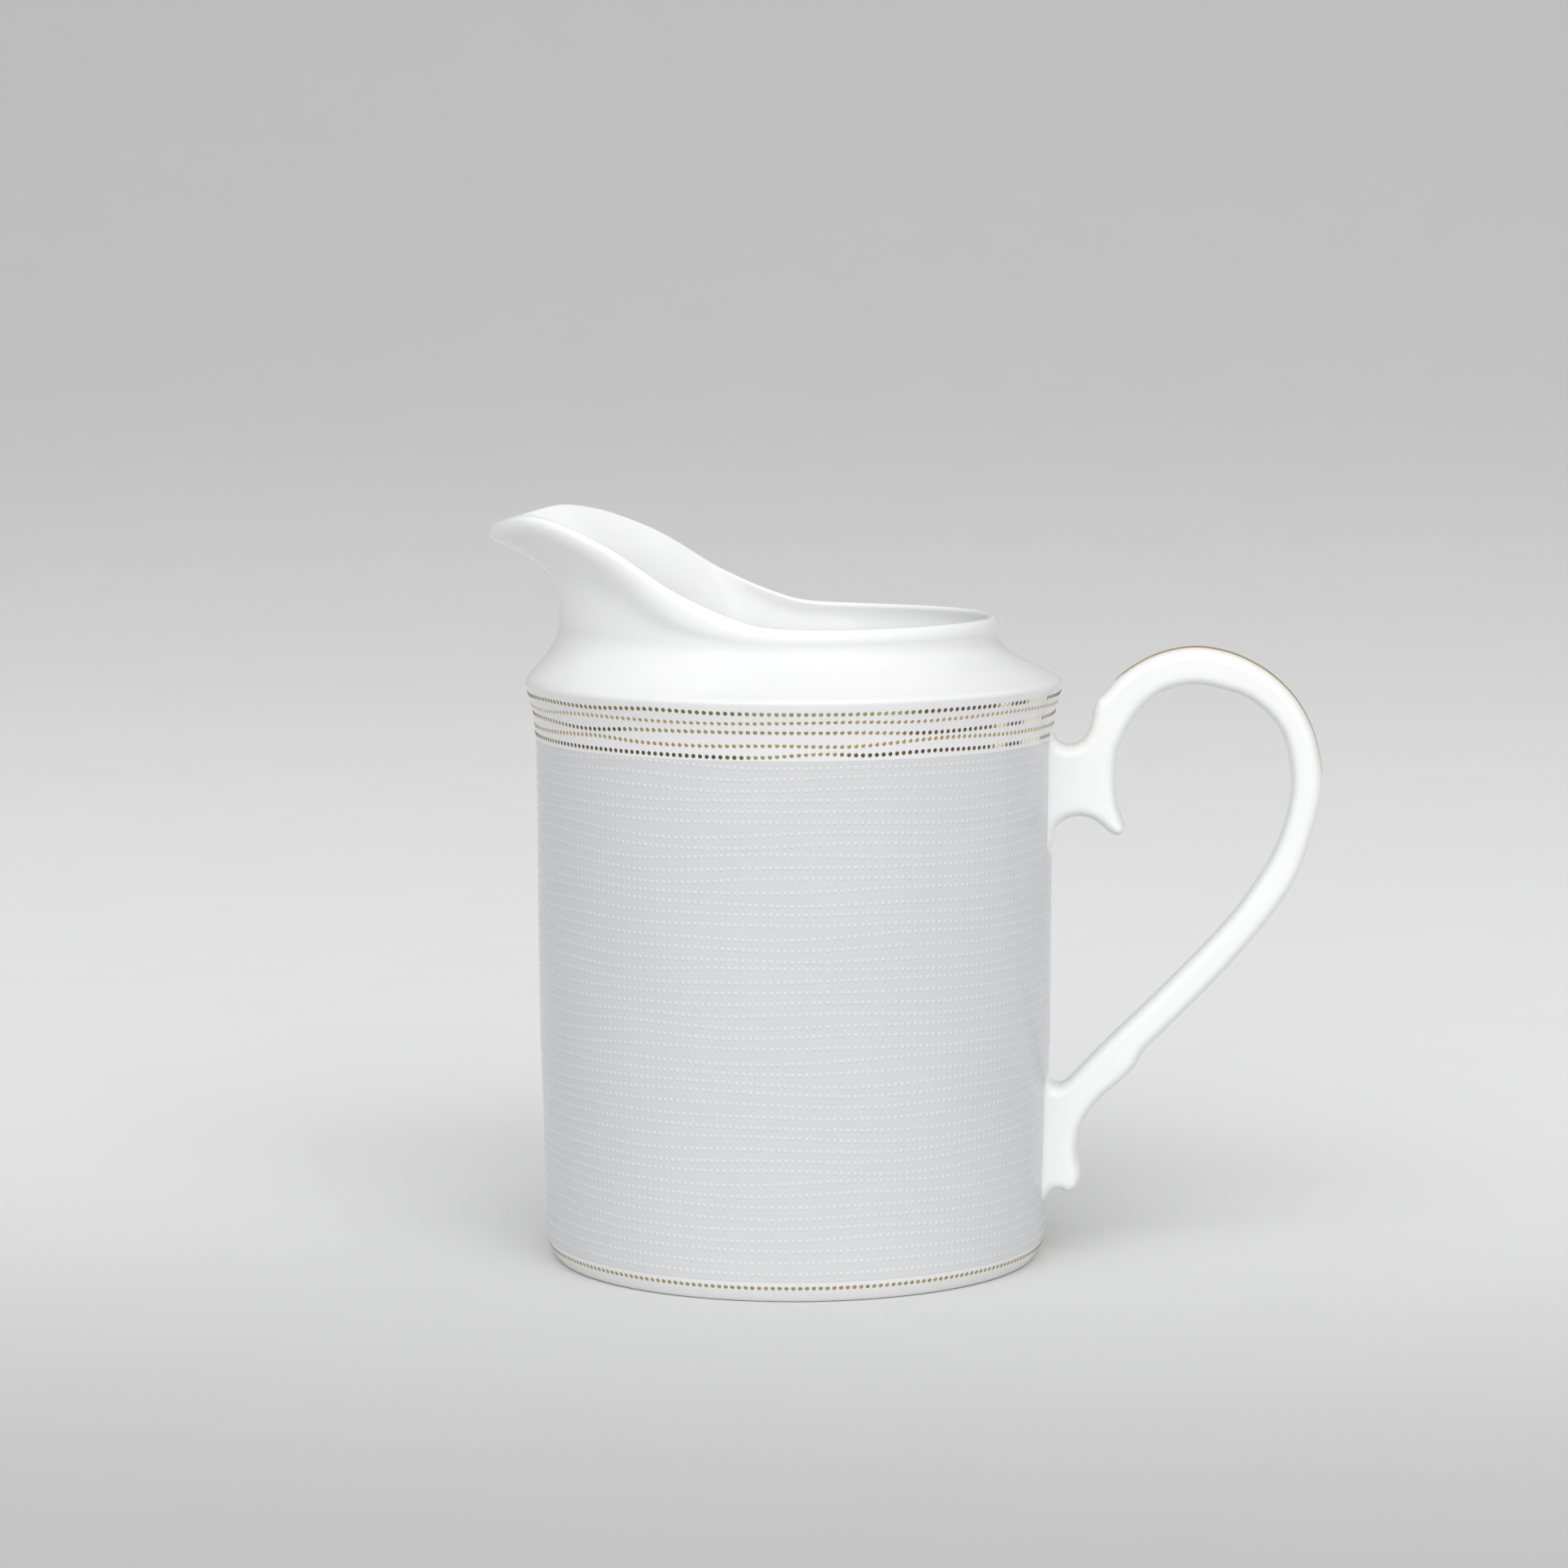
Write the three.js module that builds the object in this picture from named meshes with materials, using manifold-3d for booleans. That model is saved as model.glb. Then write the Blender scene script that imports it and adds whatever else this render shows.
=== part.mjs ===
// Porcelain cream jug: a straight-sided cast body with a rising spout, an applied loop handle,
// and printed dot bands in grey, white and gold.
// Millimetres, +Z up. The spout points to -X and the handle to +X. Each shape is drawn around
// the body's axis; the whole jug is then shifted so that its box is centred on the origin.
import * as THREE from 'three';
import { mergeVertices } from 'three/addons/utils/BufferGeometryUtils.js';
import Module from 'manifold-3d';

// ---- Driving dimensions -------------------------------------------------------------------

const SEGMENTS = 64; // facets round the body, shared by the printed sleeves so they stay parallel

// Foot: a flat ring to stand on, with a shallow recess inside it. Outside it a small rounded heel
// turns up into a corner that runs out to the wall.
const FOOT_INNER = 28.8;
const RECESS_RADIUS = 26.6;
const RECESS_DEPTH = 1.9;
const RECESS_STEP = [27.9, 1.4]; // radius and height halfway down the recess's side
const CORNER_TOP = 3.6; // height where the corner runs into the wall
const CORNER_DROP = 1.45; // how far it comes in from the wall
const CORNER_FULLNESS = 1.8; // exponent of its curve, 2 is a parabola
const HEEL_HEIGHT = 0.35;
const HEEL_DROP = 0.45;
const CORNER_LEVELS = [0, 0.08, 0.2, 0.35, 0.9, 1.7, 2.6];

// Wall: [height, radius] from the corner to the widest point of the shoulder.
const WALL = [
  [3.6, 34.75],
  [11.7, 34.9],
  [22, 35.15],
  [30, 35.4],
  [46, 35.55],
  [69, 35.62],
  [75.7, 36.0],
  [79.8, 37.1],
];
const WALL_LEVELS = [3.6, 8, 14, 20, 26, 34, 46, 58, 70, 72.4, 74.4, 76.2, 77.6, 78.8, 79.8];

// Shoulder and neck: [radius, height] at the back (handle side) and at the front (spout side).
const SHOULDER_END = { back: [36.1, 80.85], front: [36.35, 81.5] };
const SHOULDER_SLOPE = { back: 26, front: 47 }; // degrees above the horizontal
const SHOULDER_REACH = { back: 6.9, front: 4.2 };
const SHOULDER_EDGE = [0.1, 0.55]; // how far the rounding over its edge keeps the wall's direction
const NECK_DROP = { back: 1.7, front: 2.6 };
const NECK = { back: [28.2, 86.4], front: [32.45, 88.8] };

// Rim: its crest is a circle at the back and grows into the pouring lip at the front.
const RIM_RADIUS = 27.4;
const LIP_REACH = 13.45; // how much further than the circle the crest reaches at the lip
const LIP_POINT = 0.2; // how much of that reach is kept for the lip's very tip
const RIM_HEIGHTS = [
  [-1, 89.05],
  [-0.1, 89.1],
  [0.14, 90.0],
  [0.45, 94.0],
  [0.71, 100.2],
  [0.9, 103.55],
  [1, 102.1],
]; // [how far towards the spout, crest height]
const LIP_HALF = { back: 0.75, front: 1.45 }; // half the wall's thickness at the crest
const LIP_LEAN = { back: 95, front: 25 }; // degrees above the horizontal of the wall at the crest
// The rim is rounded over by a quarter ellipse outside the crest and another inside it.
const LIP_OUTER_DEPTH = { back: 3.6, front: 1.7 };
const LIP_OUTER_HALF = { back: 0.95, front: 1.45 };
const LIP_INNER_DEPTH = { back: 0.6, front: 1.3 };
const LIP_INNER_HALF = { back: 0.55, front: 1.4 };
// How far the flare keeps the neck's direction, and then the lip's, as shares of its length.
const NECK_PULL = 0.53;
const LIP_PULL = 0.46;

// Inside.
const WALL_THICKNESS = 3.0;
const NECK_THICKNESS = 2.1;
const NECK_DEPTH = 3.2; // how far the inside runs straight down below the neck
const INNER_PULL = 2.6; // how far the inner shoulder keeps the vertical at both ends
const FLOOR_HEIGHT = 5.2;
const FLOOR_FILLET = 8;
const INNER_SHOULDER_HEIGHT = 76.2;
const INNER_LEVELS = [70, 58, 46, 34, 24];

// Handle: its side outline as [x, z], from the top of the upper joint round the outside to the
// tail, and from the top of the lower joint round the inside to the heel under the upper joint.
const OUTER_OUTLINE = [
  [35.9, 72.2], [37.6, 71.5], [39.0, 71.6], [40.4, 73.1], [41.1, 75.6], [41.9, 77.8],
  [45.2, 81.2], [49.6, 83.8], [55.3, 85.0], [61.9, 83.5], [67.9, 79.1], [71.6, 72.6],
  [72.6, 66.0], [71.1, 59.0], [67.2, 50.0], [59.9, 40.9], [49.4, 30.1], [47.2, 26.8],
  [42.7, 22.6], [40.1, 19.1], [39.3, 15.2], [39.7, 11.9], [38.5, 9.5], [35.9, 9.7],
];
const INNER_OUTLINE = [
  [35.9, 24.2], [38.2, 25.2], [42.1, 29.4], [51.4, 38.6], [59.9, 47.7], [65.9, 56.8],
  [68.3, 65.7], [67.1, 73.0], [62.3, 78.0], [55.1, 79.8], [49.5, 77.9], [45.6, 72.6],
  [44.4, 66.7], [45.2, 61.7], [45.7, 59.9], [44.9, 59.0], [43.5, 59.5], [41.3, 61.2],
  [38.9, 61.5], [35.9, 60.2],
];
const OUTLINE_STEPS = 3; // straight steps between two points of the outline
const HANDLE_HALF_WIDTH = 3.7;
const HANDLE_EDGE = 0.45; // how far the rounding of the sides reaches into the outline
const HANDLE_ROUNDING = 2.3; // and how far it reaches across the handle's width
const UPPER_END_X = 37.5; // the handle stops on these two planes, where the slip begins
const LOWER_END_X = 36.6;
const MIDDLE_HEIGHT = 40; // between the two joints
const CLEAR = 100; // well past the jug on every side

// Slip: the flared clay joint between each end of the handle and the wall.
const JOINTS = {
  upper: { low: 61.0, high: 71.5, end: UPPER_END_X, flare: 1.6 },
  lower: { low: 9.7, high: 24.4, end: LOWER_END_X, flare: 1.1 },
};
const SLIP_CORNER = 2.4;
const SLIP_CORNER_STEPS = 4;
const SLIP_FULLNESS = 1.2; // how quickly the flare spreads towards the wall
const SLIP_RINGS = 4;

// Printed layers, drawn much thicker than a print so that they are solids.
const GAP = 0.3;
const PRINT_GAP = 0.12;
const PRINT_THICKNESS = 0.2;
const FOOT_BAND = [1.5, 2.7];
const GREY_FIELD = [3.2, 72.2];
const GOLD_BAND = [72.5, 79.5];
// Bare porcelain round each joint, as an oval of this exponent cut from the grey field.
const WINDOWS = [
  { middle: 66.2, halfHeight: 8, halfWidth: 6 },
  { middle: 17, halfHeight: 9.3, halfWidth: 5.5 },
];
const WINDOW_FULLNESS = 3;
const WINDOW_STEPS = 32;
const WINDOW_REACH = [30, 40]; // the cut runs from inside the wall to outside it
const LINE_HALF_WIDTH = 1.2;
const LINE_FIRST = 6; // the gold line runs over these points of the outer outline
const LINE_LAST = 11;

// ---- Materials ----------------------------------------------------------------------------

const porcelain = (roughness) => new THREE.MeshStandardMaterial({ color: 0xf7f8f7, roughness, metalness: 0 });
const greyPrint = () => new THREE.MeshStandardMaterial({ color: 0xd3d5d8, roughness: 0.2, metalness: 0 });
const gold = (roughness) => new THREE.MeshStandardMaterial({ color: 0xc9a25a, roughness, metalness: 1 });

// ---- Curve helpers ------------------------------------------------------------------------

const radians = (degrees) => (degrees * Math.PI) / 180;
const mix = (a, b, share) => a + (b - a) * share;
const blend = (pair, share) => (Array.isArray(pair.back)
  ? pair.back.map((value, i) => mix(value, pair.front[i], share))
  : mix(pair.back, pair.front, share));

// A smooth curve through [x, y] knots, read at x.
function through(knots, x) {
  const last = knots.length - 1;
  let i = 0;
  while (i < last - 1 && x > knots[i + 1][0]) i += 1;
  const slope = (a, b) => (knots[b][1] - knots[a][1]) / (knots[b][0] - knots[a][0]);
  const [x0, y0] = knots[i];
  const [x1, y1] = knots[i + 1];
  const span = x1 - x0;
  const t = THREE.MathUtils.clamp((x - x0) / span, 0, 1);
  const m0 = slope(Math.max(i - 1, 0), i + 1) * span;
  const m1 = slope(i, Math.min(i + 2, last)) * span;
  const t2 = t * t;
  const t3 = t2 * t;
  return (2 * t3 - 3 * t2 + 1) * y0 + (t3 - 2 * t2 + t) * m0 + (3 * t2 - 2 * t3) * y1 + (t3 - t2) * m1;
}

// Straight lines between [x, y] knots, read at x.
function between(knots, x) {
  let i = 0;
  while (i < knots.length - 2 && x > knots[i + 1][0]) i += 1;
  const [x0, y0] = knots[i];
  const [x1, y1] = knots[i + 1];
  return mix(y0, y1, (x - x0) / (x1 - x0));
}

// Points on a cubic Bezier curve. The first point is left out, so that curves follow each other.
function bezier(p0, p1, p2, p3, steps) {
  const curve = new THREE.CubicBezierCurve(...[p0, p1, p2, p3].map((p) => new THREE.Vector2(...p)));
  return curve.getPoints(steps).slice(1).map((p) => [p.x, p.y]);
}

// ---- Body ---------------------------------------------------------------------------------

function cornerRadius(z) {
  const down = 1 - z / CORNER_TOP;
  const heel = Math.max(1 - z / HEEL_HEIGHT, 0);
  return WALL[0][1] - CORNER_DROP * down ** CORNER_FULLNESS - HEEL_DROP * (1 - Math.sqrt(1 - heel ** 2));
}

// [height, radius] of each ring of facets on the outside, from the foot to the shoulder's edge.
const facetRings = [
  ...CORNER_LEVELS.map((z) => [z, cornerRadius(z)]),
  ...WALL_LEVELS.map((z) => [z, through(WALL, z)]),
];

// A point moved some way along a direction.
const moved = (point, way, direction) => point.map((v, i) => v + way * direction[i]);

// The rim's crest, the wall's direction there and the way out of it, at an angle from +X.
function rimAt(angle) {
  const toSpout = -Math.cos(angle);
  const share = Math.max(toSpout, 0) ** 2;
  const half = blend(LIP_HALF, share ** 2);
  const lean = radians(blend(LIP_LEAN, share));
  const along = [Math.cos(lean), Math.sin(lean)];
  const centre = [
    RIM_RADIUS + LIP_REACH * mix(share, share ** 3, LIP_POINT),
    through(RIM_HEIGHTS, toSpout) - half,
  ];
  return { crest: moved(centre, half, along), along, out: [along[1], -along[0]] };
}

// A quarter of an ellipse, without its first point. Its first and last points are given as they
// lie from its centre.
function quarter(centre, first, last, steps) {
  const points = [];
  for (let step = 1; step <= steps; step += 1) {
    const turn = (step / steps) * (Math.PI / 2);
    points.push(centre.map((v, i) => v + Math.cos(turn) * first[i] + Math.sin(turn) * last[i]));
  }
  return points;
}

// The body's section at an angle from +X, as [radius, height], from the foot over the rim and
// down to the floor inside.
function bodySection(angle) {
  const share = Math.max(-Math.cos(angle), 0) ** 2;
  const [edgeHeight, edgeRadius] = facetRings.at(-1);
  const edge = [edgeRadius, edgeHeight];
  const shoulder = blend(SHOULDER_END, share);
  const slope = radians(blend(SHOULDER_SLOPE, share));
  const down = [Math.cos(slope), -Math.sin(slope)];
  const up = [0, 1];
  const neck = blend(NECK, share);
  const { crest, along, out } = rimAt(angle);
  const rise = Math.hypot(crest[0] - neck[0], crest[1] - neck[1]);
  const depthLimit = blend(LIP_OUTER_DEPTH, share ** 2);
  const outerDepth = depthLimit * Math.tanh(rise / 2 / depthLimit);
  const outerHalf = blend(LIP_OUTER_HALF, share ** 2);
  const innerDepth = blend(LIP_INNER_DEPTH, share ** 2);
  const innerHalf = blend(LIP_INNER_HALF, share ** 2);
  const lipOut = moved(moved(crest, -outerDepth, along), outerHalf, out);
  const lipIn = moved(moved(crest, -innerDepth, along), -innerHalf, out);
  const flare = Math.hypot(lipOut[0] - neck[0], lipOut[1] - neck[1]);
  const innerNeck = [neck[0] - NECK_THICKNESS, neck[1] - NECK_DEPTH];
  const innerFlare = Math.hypot(lipIn[0] - innerNeck[0], lipIn[1] - innerNeck[1]);
  const innerRadius = (z) => through(WALL, z) - WALL_THICKNESS;
  const innerEdge = [innerRadius(INNER_SHOULDER_HEIGHT), INNER_SHOULDER_HEIGHT];
  const filletTop = FLOOR_HEIGHT + FLOOR_FILLET;
  const section = [[RECESS_RADIUS, RECESS_DEPTH], RECESS_STEP, [FOOT_INNER, 0]];
  section.push(...facetRings.map(([z, r]) => [r, z]));
  // Round over the shoulder's edge, then down its slope into the neck.
  section.push(...bezier(
    edge,
    moved(edge, 1, SHOULDER_EDGE),
    moved(shoulder, SHOULDER_EDGE[1], down),
    shoulder,
    3,
  ));
  section.push(...bezier(
    shoulder,
    moved(shoulder, -blend(SHOULDER_REACH, share), down),
    moved(neck, -blend(NECK_DROP, share), up),
    neck,
    5,
  ));
  // Up the neck to the rim, over it, and back down inside.
  section.push(...bezier(
    neck,
    moved(neck, NECK_PULL * flare, up),
    moved(lipOut, -LIP_PULL * flare, along),
    lipOut,
    6,
  ));
  section.push(...quarter(
    moved(crest, -outerDepth, along),
    out.map((v) => v * outerHalf),
    along.map((v) => v * outerDepth),
    3,
  ));
  section.push(...quarter(
    moved(crest, -innerDepth, along),
    along.map((v) => v * innerDepth),
    out.map((v) => -v * innerHalf),
    2,
  ));
  section.push(...bezier(
    lipIn,
    moved(lipIn, -LIP_PULL * innerFlare, along),
    moved(innerNeck, innerFlare / 2, up),
    innerNeck,
    5,
  ));
  section.push(...bezier(
    innerNeck,
    moved(innerNeck, -INNER_PULL, up),
    moved(innerEdge, INNER_PULL, up),
    innerEdge,
    4,
  ));
  section.push(...INNER_LEVELS.map((z) => [innerRadius(z), z]));
  // The fillet down to the floor.
  const wallEnd = [innerRadius(filletTop), filletTop];
  section.push(wallEnd, ...quarter(
    moved(wallEnd, -FLOOR_FILLET, [1, 0]),
    [FLOOR_FILLET, 0],
    [0, -FLOOR_FILLET],
    3,
  ));
  return section;
}

// Closes a stack of rings, listed from the first cap to the last, with a point at each end.
function stackedRings(rings, firstPoint, lastPoint) {
  const count = rings[0].length;
  const positions = [...rings.flat(2), ...firstPoint, ...lastPoint];
  const first = rings.length * count;
  const last = first + 1;
  const index = [];
  for (let j = 0; j < count; j += 1) {
    const k = (j + 1) % count;
    index.push(first, k, j);
    for (let i = 0; i + 1 < rings.length; i += 1) {
      const low = i * count;
      const high = low + count;
      index.push(low + j, low + k, high + k);
      index.push(low + j, high + k, high + j);
    }
    const top = (rings.length - 1) * count;
    index.push(last, top + j, top + k);
  }
  const geometry = new THREE.BufferGeometry();
  geometry.setAttribute('position', new THREE.Float32BufferAttribute(positions, 3));
  geometry.setIndex(index);
  geometry.computeVertexNormals();
  return geometry;
}

function bodyGeometry() {
  const angles = Array.from({ length: SEGMENTS }, (_, j) => (j * 2 * Math.PI) / SEGMENTS);
  const sections = angles.map(bodySection);
  const rings = sections[0].map((_, i) => angles.map((angle, j) => {
    const [r, z] = sections[j][i];
    return [r * Math.cos(angle), r * Math.sin(angle), z];
  }));
  return stackedRings(rings, [0, 0, RECESS_DEPTH], [0, 0, FLOOR_HEIGHT]);
}

// ---- Solids that are cut ------------------------------------------------------------------

const wasm = await Module();
wasm.setup();

function toSolid(geometry) {
  const bare = geometry.clone();
  bare.deleteAttribute('normal');
  bare.deleteAttribute('uv');
  const merged = mergeVertices(bare, 1e-4);
  return new wasm.Manifold(new wasm.Mesh({
    numProp: 3,
    vertProperties: Float32Array.from(merged.getAttribute('position').array),
    triVerts: Uint32Array.from(merged.getIndex().array),
  }));
}

function toGeometry(solid) {
  const { vertProperties, triVerts } = solid.getMesh();
  const geometry = new THREE.BufferGeometry();
  geometry.setAttribute('position', new THREE.BufferAttribute(vertProperties, 3));
  geometry.setIndex(new THREE.BufferAttribute(triVerts, 1));
  geometry.computeVertexNormals();
  return geometry;
}

// A block from one corner to the other.
function block(low, high) {
  const size = high.map((v, i) => v - low[i]);
  const middle = high.map((v, i) => (v + low[i]) / 2);
  return toSolid(new THREE.BoxGeometry(...size).translate(...middle));
}

// ---- Handle -------------------------------------------------------------------------------

function outlinePoints(points) {
  const curve = new THREE.CatmullRomCurve3(
    points.map(([x, z]) => new THREE.Vector3(x, z, 0)),
    false,
    'centripetal',
  );
  const steps = (points.length - 1) * OUTLINE_STEPS;
  return curve.getPoints(steps).map((p) => new THREE.Vector2(p.x, p.y));
}

// Turns a shape that was drawn flat, in x and z, so that it stands up.
const standing = (geometry) => geometry.rotateX(Math.PI / 2);

function handleGeometry() {
  const shape = new THREE.Shape([...outlinePoints(OUTER_OUTLINE), ...outlinePoints(INNER_OUTLINE)]);
  const flat = 2 * (HANDLE_HALF_WIDTH - HANDLE_ROUNDING);
  const solid = new THREE.ExtrudeGeometry(shape, {
    depth: flat,
    bevelSize: HANDLE_EDGE,
    bevelOffset: -HANDLE_EDGE,
    bevelThickness: HANDLE_ROUNDING,
    bevelSegments: 3,
  });
  solid.translate(0, 0, -flat / 2);
  const upper = block([0, -CLEAR, MIDDLE_HEIGHT], [UPPER_END_X, CLEAR, CLEAR]);
  const lower = block([0, -CLEAR, -CLEAR], [LOWER_END_X, CLEAR, MIDDLE_HEIGHT]);
  return toGeometry(toSolid(standing(solid)).subtract(upper).subtract(lower));
}

// The gold line: a thin strip that follows the outer outline over the crown.
function lineGeometry() {
  const path = outlinePoints(OUTER_OUTLINE).slice(LINE_FIRST * OUTLINE_STEPS, LINE_LAST * OUTLINE_STEPS + 1);
  const offset = (distance) => path.map((p, i) => {
    const before = path[Math.max(i - 1, 0)];
    const after = path[Math.min(i + 1, path.length - 1)];
    const along = after.clone().sub(before).normalize();
    return new THREE.Vector2(p.x - along.y * distance, p.y + along.x * distance);
  });
  const shape = new THREE.Shape([...offset(GAP + PRINT_THICKNESS), ...offset(GAP).reverse()]);
  const solid = new THREE.ExtrudeGeometry(shape, { depth: 2 * LINE_HALF_WIDTH, bevelEnabled: false });
  solid.translate(0, 0, -LINE_HALF_WIDTH);
  return standing(solid);
}

// ---- Slip joints --------------------------------------------------------------------------

// A rounded rectangle in y and z, counter-clockwise seen from +X, grown outwards by some amount.
function jointRing({ low, high }, grow) {
  const corner = SLIP_CORNER + grow;
  const halfWidth = HANDLE_HALF_WIDTH - GAP + grow;
  const halfHeight = (high - low) / 2 + grow;
  const points = [];
  for (let side = 0; side < 4; side += 1) {
    for (let step = 0; step <= SLIP_CORNER_STEPS; step += 1) {
      const a = ((side + step / SLIP_CORNER_STEPS) * Math.PI) / 2;
      const sideY = side === 0 || side === 3 ? 1 : -1;
      const sideZ = side < 2 ? 1 : -1;
      points.push([
        sideY * (halfWidth - corner) + corner * Math.cos(a),
        sideZ * (halfHeight - corner) + corner * Math.sin(a) + (high + low) / 2,
      ]);
    }
  }
  return points;
}

function slipGeometry(joint) {
  const wallX = (y, z) => Math.sqrt((between(facetRings, z) + GAP) ** 2 - y * y);
  const face = joint.end - GAP;
  const rings = [];
  for (let ring = 0; ring < SLIP_RINGS; ring += 1) {
    const share = ring / (SLIP_RINGS - 1); // 0 at the wall, 1 at the handle
    const grow = joint.flare * (1 - Math.sin((share * Math.PI) / 2)) ** SLIP_FULLNESS;
    rings.push(jointRing(joint, grow).map(([y, z]) => [mix(wallX(y, z), face, share), y, z]));
  }
  const middle = (joint.low + joint.high) / 2;
  return stackedRings(rings, [wallX(0, middle), 0, middle], [face, 0, middle]);
}

// ---- Printed sleeves ----------------------------------------------------------------------

// A thin sleeve on the outside of the wall from one height to another. Its facets are parallel to
// the wall's.
function sleeveSolid([bottom, top]) {
  const heights = [bottom, ...facetRings.map(([z]) => z).filter((z) => z > bottom && z < top), top];
  const inner = heights.map((z) => new THREE.Vector2(between(facetRings, z) + PRINT_GAP, z));
  const outer = heights.map((z) => new THREE.Vector2(between(facetRings, z) + PRINT_GAP + PRINT_THICKNESS, z));
  const profile = [...outer, ...inner.reverse(), outer[0].clone()];
  const ring = new THREE.LatheGeometry(profile, SEGMENTS);
  ring.rotateX(Math.PI / 2);
  return toSolid(ring);
}

// A window's outline in y and z, counter-clockwise seen from +X.
function windowOutline({ middle, halfHeight, halfWidth }) {
  const round = (v) => Math.sign(v) * Math.abs(v) ** (2 / WINDOW_FULLNESS);
  return Array.from({ length: WINDOW_STEPS }, (_, step) => {
    const a = (step * 2 * Math.PI) / WINDOW_STEPS;
    return [halfWidth * round(Math.cos(a)), middle + halfHeight * round(Math.sin(a))];
  });
}

// The block that cuts an outline through the handle's side of a sleeve.
function cutter(outline) {
  const middle = outline.reduce((sum, [, z]) => sum + z, 0) / outline.length;
  const [near, far] = WINDOW_REACH;
  const ringAt = (x) => outline.map(([y, z]) => [x, y, z]);
  return toSolid(stackedRings([ringAt(near), ringAt(far)], [near, 0, middle], [far, 0, middle]));
}

function sleeveGeometry(band, outlines) {
  return toGeometry(outlines.map(cutter).reduce((left, cut) => left.subtract(cut), sleeveSolid(band)));
}

// The gold band is only cut where the upper joint's flare would touch it.
const greyCuts = WINDOWS.map(windowOutline);
const goldCuts = [jointRing(JOINTS.upper, JOINTS.upper.flare + GAP)];

// ---- Assembly -----------------------------------------------------------------------------

function piece(name, geometry, material) {
  const mesh = new THREE.Mesh(geometry, material);
  mesh.name = name;
  return mesh;
}

const jug = new THREE.Group();
jug.add(
  piece('jug_body', bodyGeometry(), porcelain(0.12)),
  piece('handle', handleGeometry(), porcelain(0.13)),
  piece('upper_handle_slip', slipGeometry(JOINTS.upper), porcelain(0.14)),
  piece('lower_handle_slip', slipGeometry(JOINTS.lower), porcelain(0.14)),
  piece('grey_dot_transfer', sleeveGeometry(GREY_FIELD, greyCuts), greyPrint()),
  piece('upper_gold_transfer', sleeveGeometry(GOLD_BAND, goldCuts), gold(0.18)),
  piece('foot_gold_transfer', sleeveGeometry(FOOT_BAND, []), gold(0.35)),
  piece('handle_gold_line', lineGeometry(), gold(0.3)),
);

const box = new THREE.Box3().setFromObject(jug);
jug.position.x = -(box.min.x + box.max.x) / 2;

const part = new THREE.Group();
part.add(jug);
export default part;
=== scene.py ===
"""Porcelain cream jug: glazed body, applied handle with its slip joints, and the printed dots.

The shapes are drawn in millimetres round the body's axis, as the CAD model is, and turned into
metres in the frame's own place when a mesh is made.
"""

import math

import bmesh
import bpy
import numpy as np
from mathutils import Matrix, Vector


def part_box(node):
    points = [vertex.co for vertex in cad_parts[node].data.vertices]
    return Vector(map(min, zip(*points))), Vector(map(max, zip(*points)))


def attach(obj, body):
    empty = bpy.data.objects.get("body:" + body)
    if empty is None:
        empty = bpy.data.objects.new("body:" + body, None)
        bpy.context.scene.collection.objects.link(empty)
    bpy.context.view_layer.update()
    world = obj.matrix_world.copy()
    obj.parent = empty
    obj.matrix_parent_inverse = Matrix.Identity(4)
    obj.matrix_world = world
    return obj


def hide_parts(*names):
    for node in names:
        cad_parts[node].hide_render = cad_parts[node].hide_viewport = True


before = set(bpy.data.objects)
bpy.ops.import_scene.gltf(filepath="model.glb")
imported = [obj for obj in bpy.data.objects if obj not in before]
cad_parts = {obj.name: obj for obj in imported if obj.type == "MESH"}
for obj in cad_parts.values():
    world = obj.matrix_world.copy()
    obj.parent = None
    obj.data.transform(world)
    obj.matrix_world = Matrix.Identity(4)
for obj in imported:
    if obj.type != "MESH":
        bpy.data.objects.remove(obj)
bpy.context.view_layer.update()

MM = 0.001
TINY = 1e-4
BODY = "root"
foot_low, foot_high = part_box("foot_gold_transfer")
AXIS = np.array([(foot_low.x + foot_high.x) / 2, (foot_low.y + foot_high.y) / 2, 0.0])

# ---- Dimensions of the shape, in millimetres ---------------------------------------------

FOOT_INNER = 28.8
RECESS_RADIUS = 26.6
RECESS_DEPTH = 1.9
# The recess's side is a curve that leaves its roof level and comes down steeply beside the foot.
RECESS_PULL = (1.4, 0.0)
FOOT_PULL = (-0.5, 0.1)
# The wall comes in below CORNER_TOP, and its last bit above the ground is a small rounding.
CORNER_TOP = 3.6
CORNER_DROP = 1.45
CORNER_FULLNESS = 1.8
HEEL_HEIGHT = 0.35
HEEL_DROP = 0.45
WALL_HEIGHTS = (3.6, 11.7, 22.0, 30.0, 46.0, 69.0, 75.7, 79.8)
WALL_RADII = (34.75, 34.9, 35.15, 35.4, 35.55, 35.62, 36.0, 37.1)
CORNER_START = WALL_RADII[0] - CORNER_DROP - HEEL_DROP
SHOULDER_TOP = WALL_HEIGHTS[-1]
# Each pair is a value at the handle's side and one at the spout's side.
SHOULDER_END = ((36.1, 80.85), (36.35, 81.5))
SHOULDER_SLOPE = (26.0, 47.0)
SHOULDER_REACH = (6.9, 4.2)
SHOULDER_EDGE = (0.1, 0.55)  # how far the rounding over its edge keeps the wall's direction
NECK_DROP = (1.7, 2.6)
NECK = ((28.2, 86.4), (32.45, 88.8))
RIM_RADIUS = 27.4
LIP_REACH = 13.45
LIP_SWELL = 0.2  # the share of the lip's reach that comes only close to its tip
RIM_TOWARDS_SPOUT = (-1.0, -0.1, 0.14, 0.45, 0.71, 0.9, 1.0)
RIM_HEIGHTS = (89.05, 89.1, 90.0, 94.0, 100.2, 103.55, 102.1)
LIP_HALF = (0.75, 1.45)
LIP_LEAN = (95.0, 25.0)
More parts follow.
